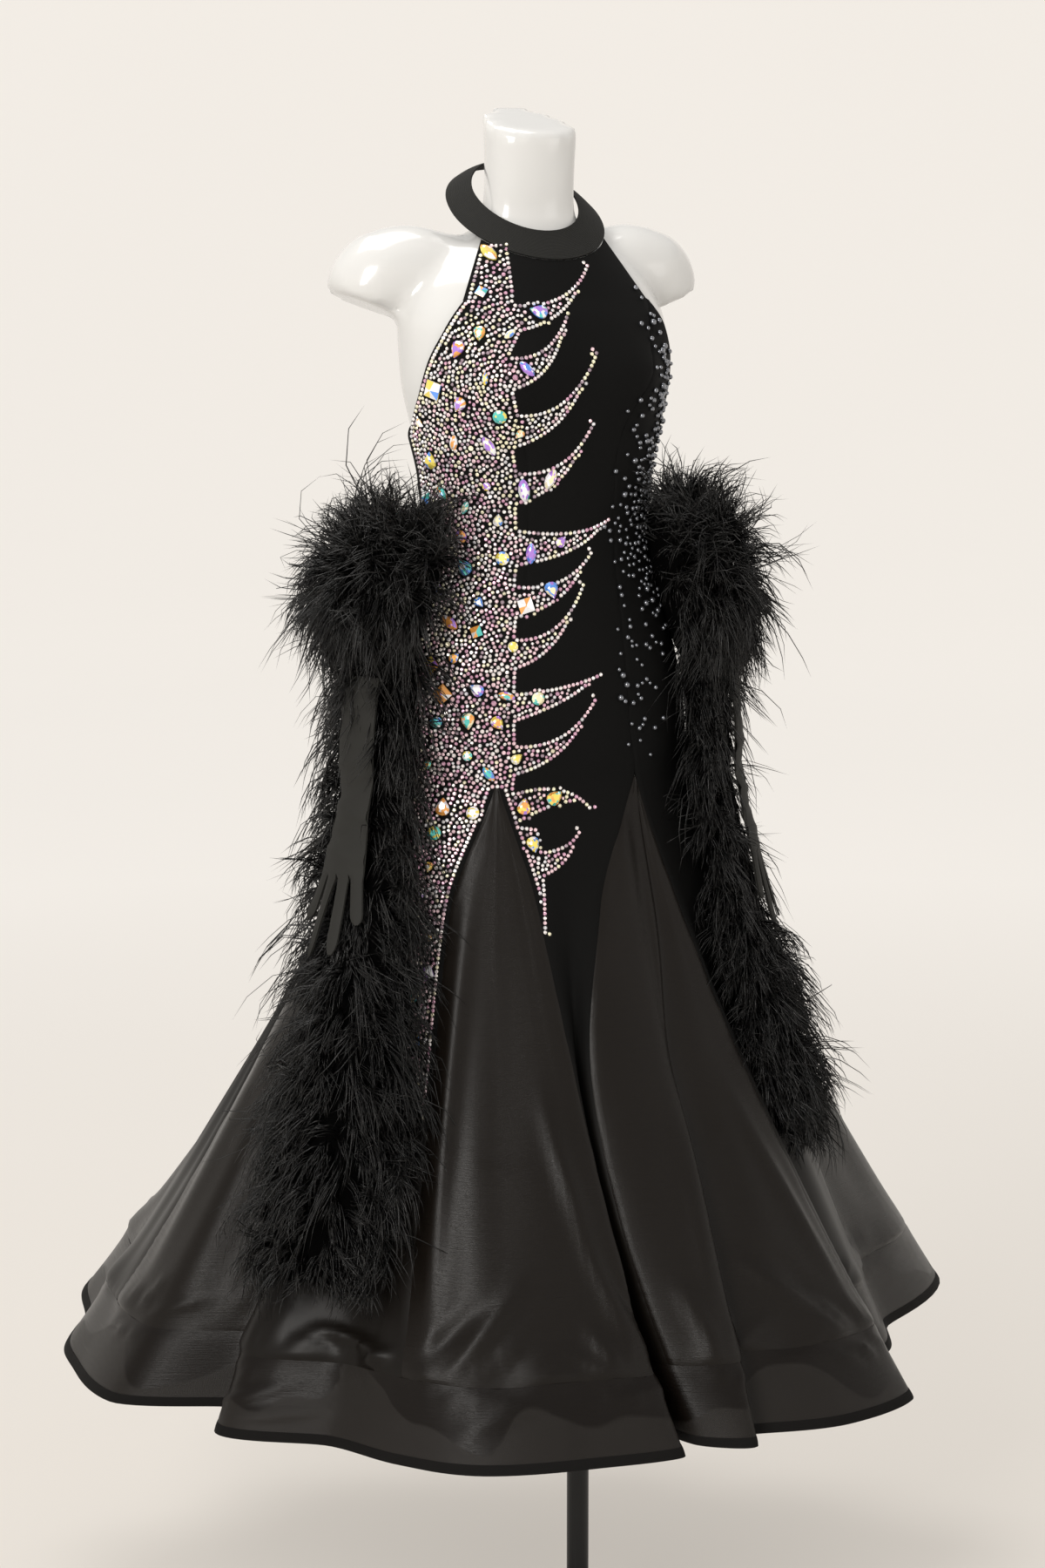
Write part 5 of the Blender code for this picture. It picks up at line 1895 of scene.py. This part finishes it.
def painted_shade_heart_finish():
    """The cord and matted flue in the middle of a trim, made near black, rough and almost unreflecting
    as painted shade for the depths of the feathers.
    """
    finish = Finish("feather_heart_painted_shade")
    fleck = finish.noise(finish.object_place(), 160.0, 2.0)
    return finish.set(
        # painted shade: near black and almost without reflection
        Base_Color=finish.mix(fleck, shade(0.0006, 0.0006, 0.0006), shade(0.0016, 0.0015, 0.0015)),
        Roughness=0.95,
        Normal=finish.bump(fleck, 0.5, 0.002),
        Specular_IOR_Level=0.02,
    )


def glove_finish():
    """Fine stretch mesh; the real mesh is a little see-through, but this finish is opaque."""
    finish = Finish("glove_mesh")
    place = finish.object_place()
    net = finish.noise(place, 1400.0, 2.0)
    cloud = finish.noise(place, 30.0, 2.0)
    return finish.set(
        Base_Color=finish.mix(cloud, shade(0.0135, 0.0132, 0.0116), shade(0.0185, 0.0181, 0.0160)),
        Roughness=0.62 + net * 0.20,
        Normal=finish.bump(net, 0.30, 0.0003),
        Specular_IOR_Level=0.22,
    )


def form_finish():
    """Glossy white moulded shell with faint ripples under the lacquer."""
    finish = Finish("gloss_white")
    place = finish.object_place()
    ripple = finish.noise(place, 11.0, 2.0)
    cloud = finish.noise(place, 4.0, 3.0)
    return finish.set(
        Base_Color=finish.mix(cloud, shade(0.555, 0.553, 0.542), shade(0.580, 0.578, 0.568)),
        Roughness=0.14 + cloud * 0.08,
        Normal=finish.bump(ripple, 0.05, 0.004),
        Coat_Weight=0.6,
        Coat_Roughness=0.06,
        Specular_IOR_Level=0.5,
    )


def stand_finish():
    """Satin black paint on metal, rubbed a little."""
    finish = Finish("stand_black")
    rub = finish.noise(finish.object_place((1.0, 1.0, 0.12)), 60.0, 4.0)
    return finish.set(
        Base_Color=finish.mix(rub, shade(0.004, 0.004, 0.004), shade(0.009, 0.009, 0.009)),
        Roughness=0.30 + rub * 0.18,
        Normal=finish.bump(rub, 0.06, 0.001),
        Specular_IOR_Level=0.30,
    )


def stone_finish(name, rough, metal):
    """Coated crystal: each facet has its own colour, partly the stones' own tint and partly painted
    light.
    """
    finish = Finish(name)
    coating_and_painted_light = finish.node("ShaderNodeAttribute", {"attribute_name": "coating_and_painted_light"}, {}, "Color")
    glint = finish.noise(finish.object_place(), 900.0, 1.0)
    return finish.set(
        Base_Color=coating_and_painted_light,
        Roughness=rough + glint * 0.08,
        Metallic=metal,
        Coat_Weight=1.0,
        Coat_Roughness=0.03,
        Specular_IOR_Level=0.9,
    )


def bead_finish():
    """Dark hematite beads."""
    finish = Finish("hematite_bead")
    cloud = finish.noise(finish.object_place(), 300.0, 2.0)
    return finish.set(
        Base_Color=finish.mix(cloud, shade(0.120, 0.126, 0.140), shade(0.260, 0.270, 0.300)),
        Roughness=0.10 + cloud * 0.08,
        Metallic=0.85,
        Coat_Weight=0.5,
        Coat_Roughness=0.04,
    )


# ---- studio ---------------------------------------------------------------------------------
EYE = (-1.851, -3.852, 1.600)
EYE_TILT = 81.52
EYE_TURN = -24.85
LENS = 92.5
FLOOR_REACH = 10.5
SWEEP = 3.0
SWEEP_CUTS = 16
FLOOR_CUTS = 96
WALL_TOP = 7.5


def make_floor():
    """A pale floor that sweeps up all round into a plain backdrop, which glows as painted light, less
    strongly near the middle.
    """
    profile = [(0.0, 0.0), (FLOOR_REACH, 0.0)]
    for cut in range(1, SWEEP_CUTS + 1):
        turn = math.pi / 2.0 * cut / SWEEP_CUTS
        profile.append((FLOOR_REACH + SWEEP * math.sin(turn), SWEEP * (1.0 - math.cos(turn))))
    profile.append((FLOOR_REACH + SWEEP, WALL_TOP))
    turns = turns_round(FLOOR_CUTS)
    points = np.array([
        (reach * math.cos(turn), reach * math.sin(turn), tall - 0.0004)
        for reach, tall in profile[1:] for turn in turns
    ])
    faces = grid_faces(len(profile) - 1, len(turns), 0, closed=True, turned=True)
    faces.append(tuple(range(len(turns))))
    mesh = bpy.data.meshes.new("studio_floor")
    mesh.from_pydata(points.tolist(), [], faces)
    mesh.shade_smooth()
    mesh.polygons[-1].use_smooth = False
    finish = Finish("studio_paper")
    grain = finish.noise(finish.object_place(), 0.6, 2.0)
    away = finish.node(
        "ShaderNodeVectorMath", {"operation": "LENGTH"}, {"Vector": finish.object_place()}, "Value"
    )
    painted_glow = finish.ramp(away, 1.0, 5.0)
    finish.set(
        Base_Color=finish.mix(grain, shade(0.36, 0.345, 0.325), shade(0.38, 0.365, 0.345)),
        # painted light: the floor and backdrop glow, less strongly within 1 m of the middle and most
        # strongly from 5 m out
        Emission_Color=finish.mix(painted_glow, shade(0.40, 0.372, 0.338), shade(0.590, 0.567, 0.536)),
        Emission_Strength=1.0,
        Roughness=0.95,
        Specular_IOR_Level=0.1,
    )
    mesh.materials.append(finish.material)
    floor = bpy.data.objects.new("studio_floor", mesh)
    bpy.context.scene.collection.objects.link(floor)


def make_light(name, spot, aim, size, power, colour):
    lamp = bpy.data.lights.new(name, "AREA")
    lamp.shape = "RECTANGLE"
    lamp.size, lamp.size_y = size
    lamp.energy = power
    lamp.color = colour
    thing = bpy.data.objects.new(name, lamp)
    way = np.array(aim) - np.array(spot)
    thing.location = spot
    across = math.hypot(way[0], way[1])
    thing.rotation_euler = (math.atan2(across, -way[2]), 0.0, math.atan2(-way[0], way[1]))
    bpy.context.scene.collection.objects.link(thing)


def make_studio():
    bpy.context.scene.view_settings.view_transform = "Standard"
    world = bpy.context.scene.world or bpy.data.worlds.new("studio_air")
    bpy.context.scene.world = world
    world.use_nodes = True
    air = world.node_tree.nodes["Background"]
    air.inputs["Color"].default_value = (1.0, 0.975, 0.945, 1.0)
    air.inputs["Strength"].default_value = 0.62
    make_light("key_box", (-3.4, -3.0, 2.9), (0.0, 0.0, 0.9), (1.6, 2.2), 160.0, (1.0, 0.975, 0.94))
    make_light("fill_box", (2.9, -3.6, 1.9), (0.0, 0.0, 0.8), (1.6, 2.2), 9.0, (1.0, 0.98, 0.96))
    make_light("top_box", (-0.4, 0.6, 3.6), (0.0, 0.0, 1.0), (1.8, 1.8), 40.0, (1.0, 0.98, 0.95))
    lens = bpy.data.cameras.new("eye")
    lens.lens = LENS
    lens.sensor_width = 36.0
    camera = bpy.data.objects.new("eye", lens)
    camera.location = EYE
    camera.rotation_euler = (math.radians(EYE_TILT), 0.0, math.radians(EYE_TURN))
    bpy.context.scene.collection.objects.link(camera)
    bpy.context.scene.camera = camera


# ---- the whole dress ------------------------------------------------------------------------
make_studio()
make_floor()
make_form(form_finish())
make_gores(crepe_finish())
make_godets(satin_finish())
make_hem(hem_band_finish(), binding_finish())
make_neck_band(neck_band_finish())
make_plumes(feather_finish(), painted_shade_heart_finish())
make_gloves(glove_finish())
make_stones(stone_finish("coated_crystal", 0.16, 0.35))
make_beads(bead_finish())

stand = stand_finish()
for name in ("pole", "base_plate"):
    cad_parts[name].material_slots[0].material = stand
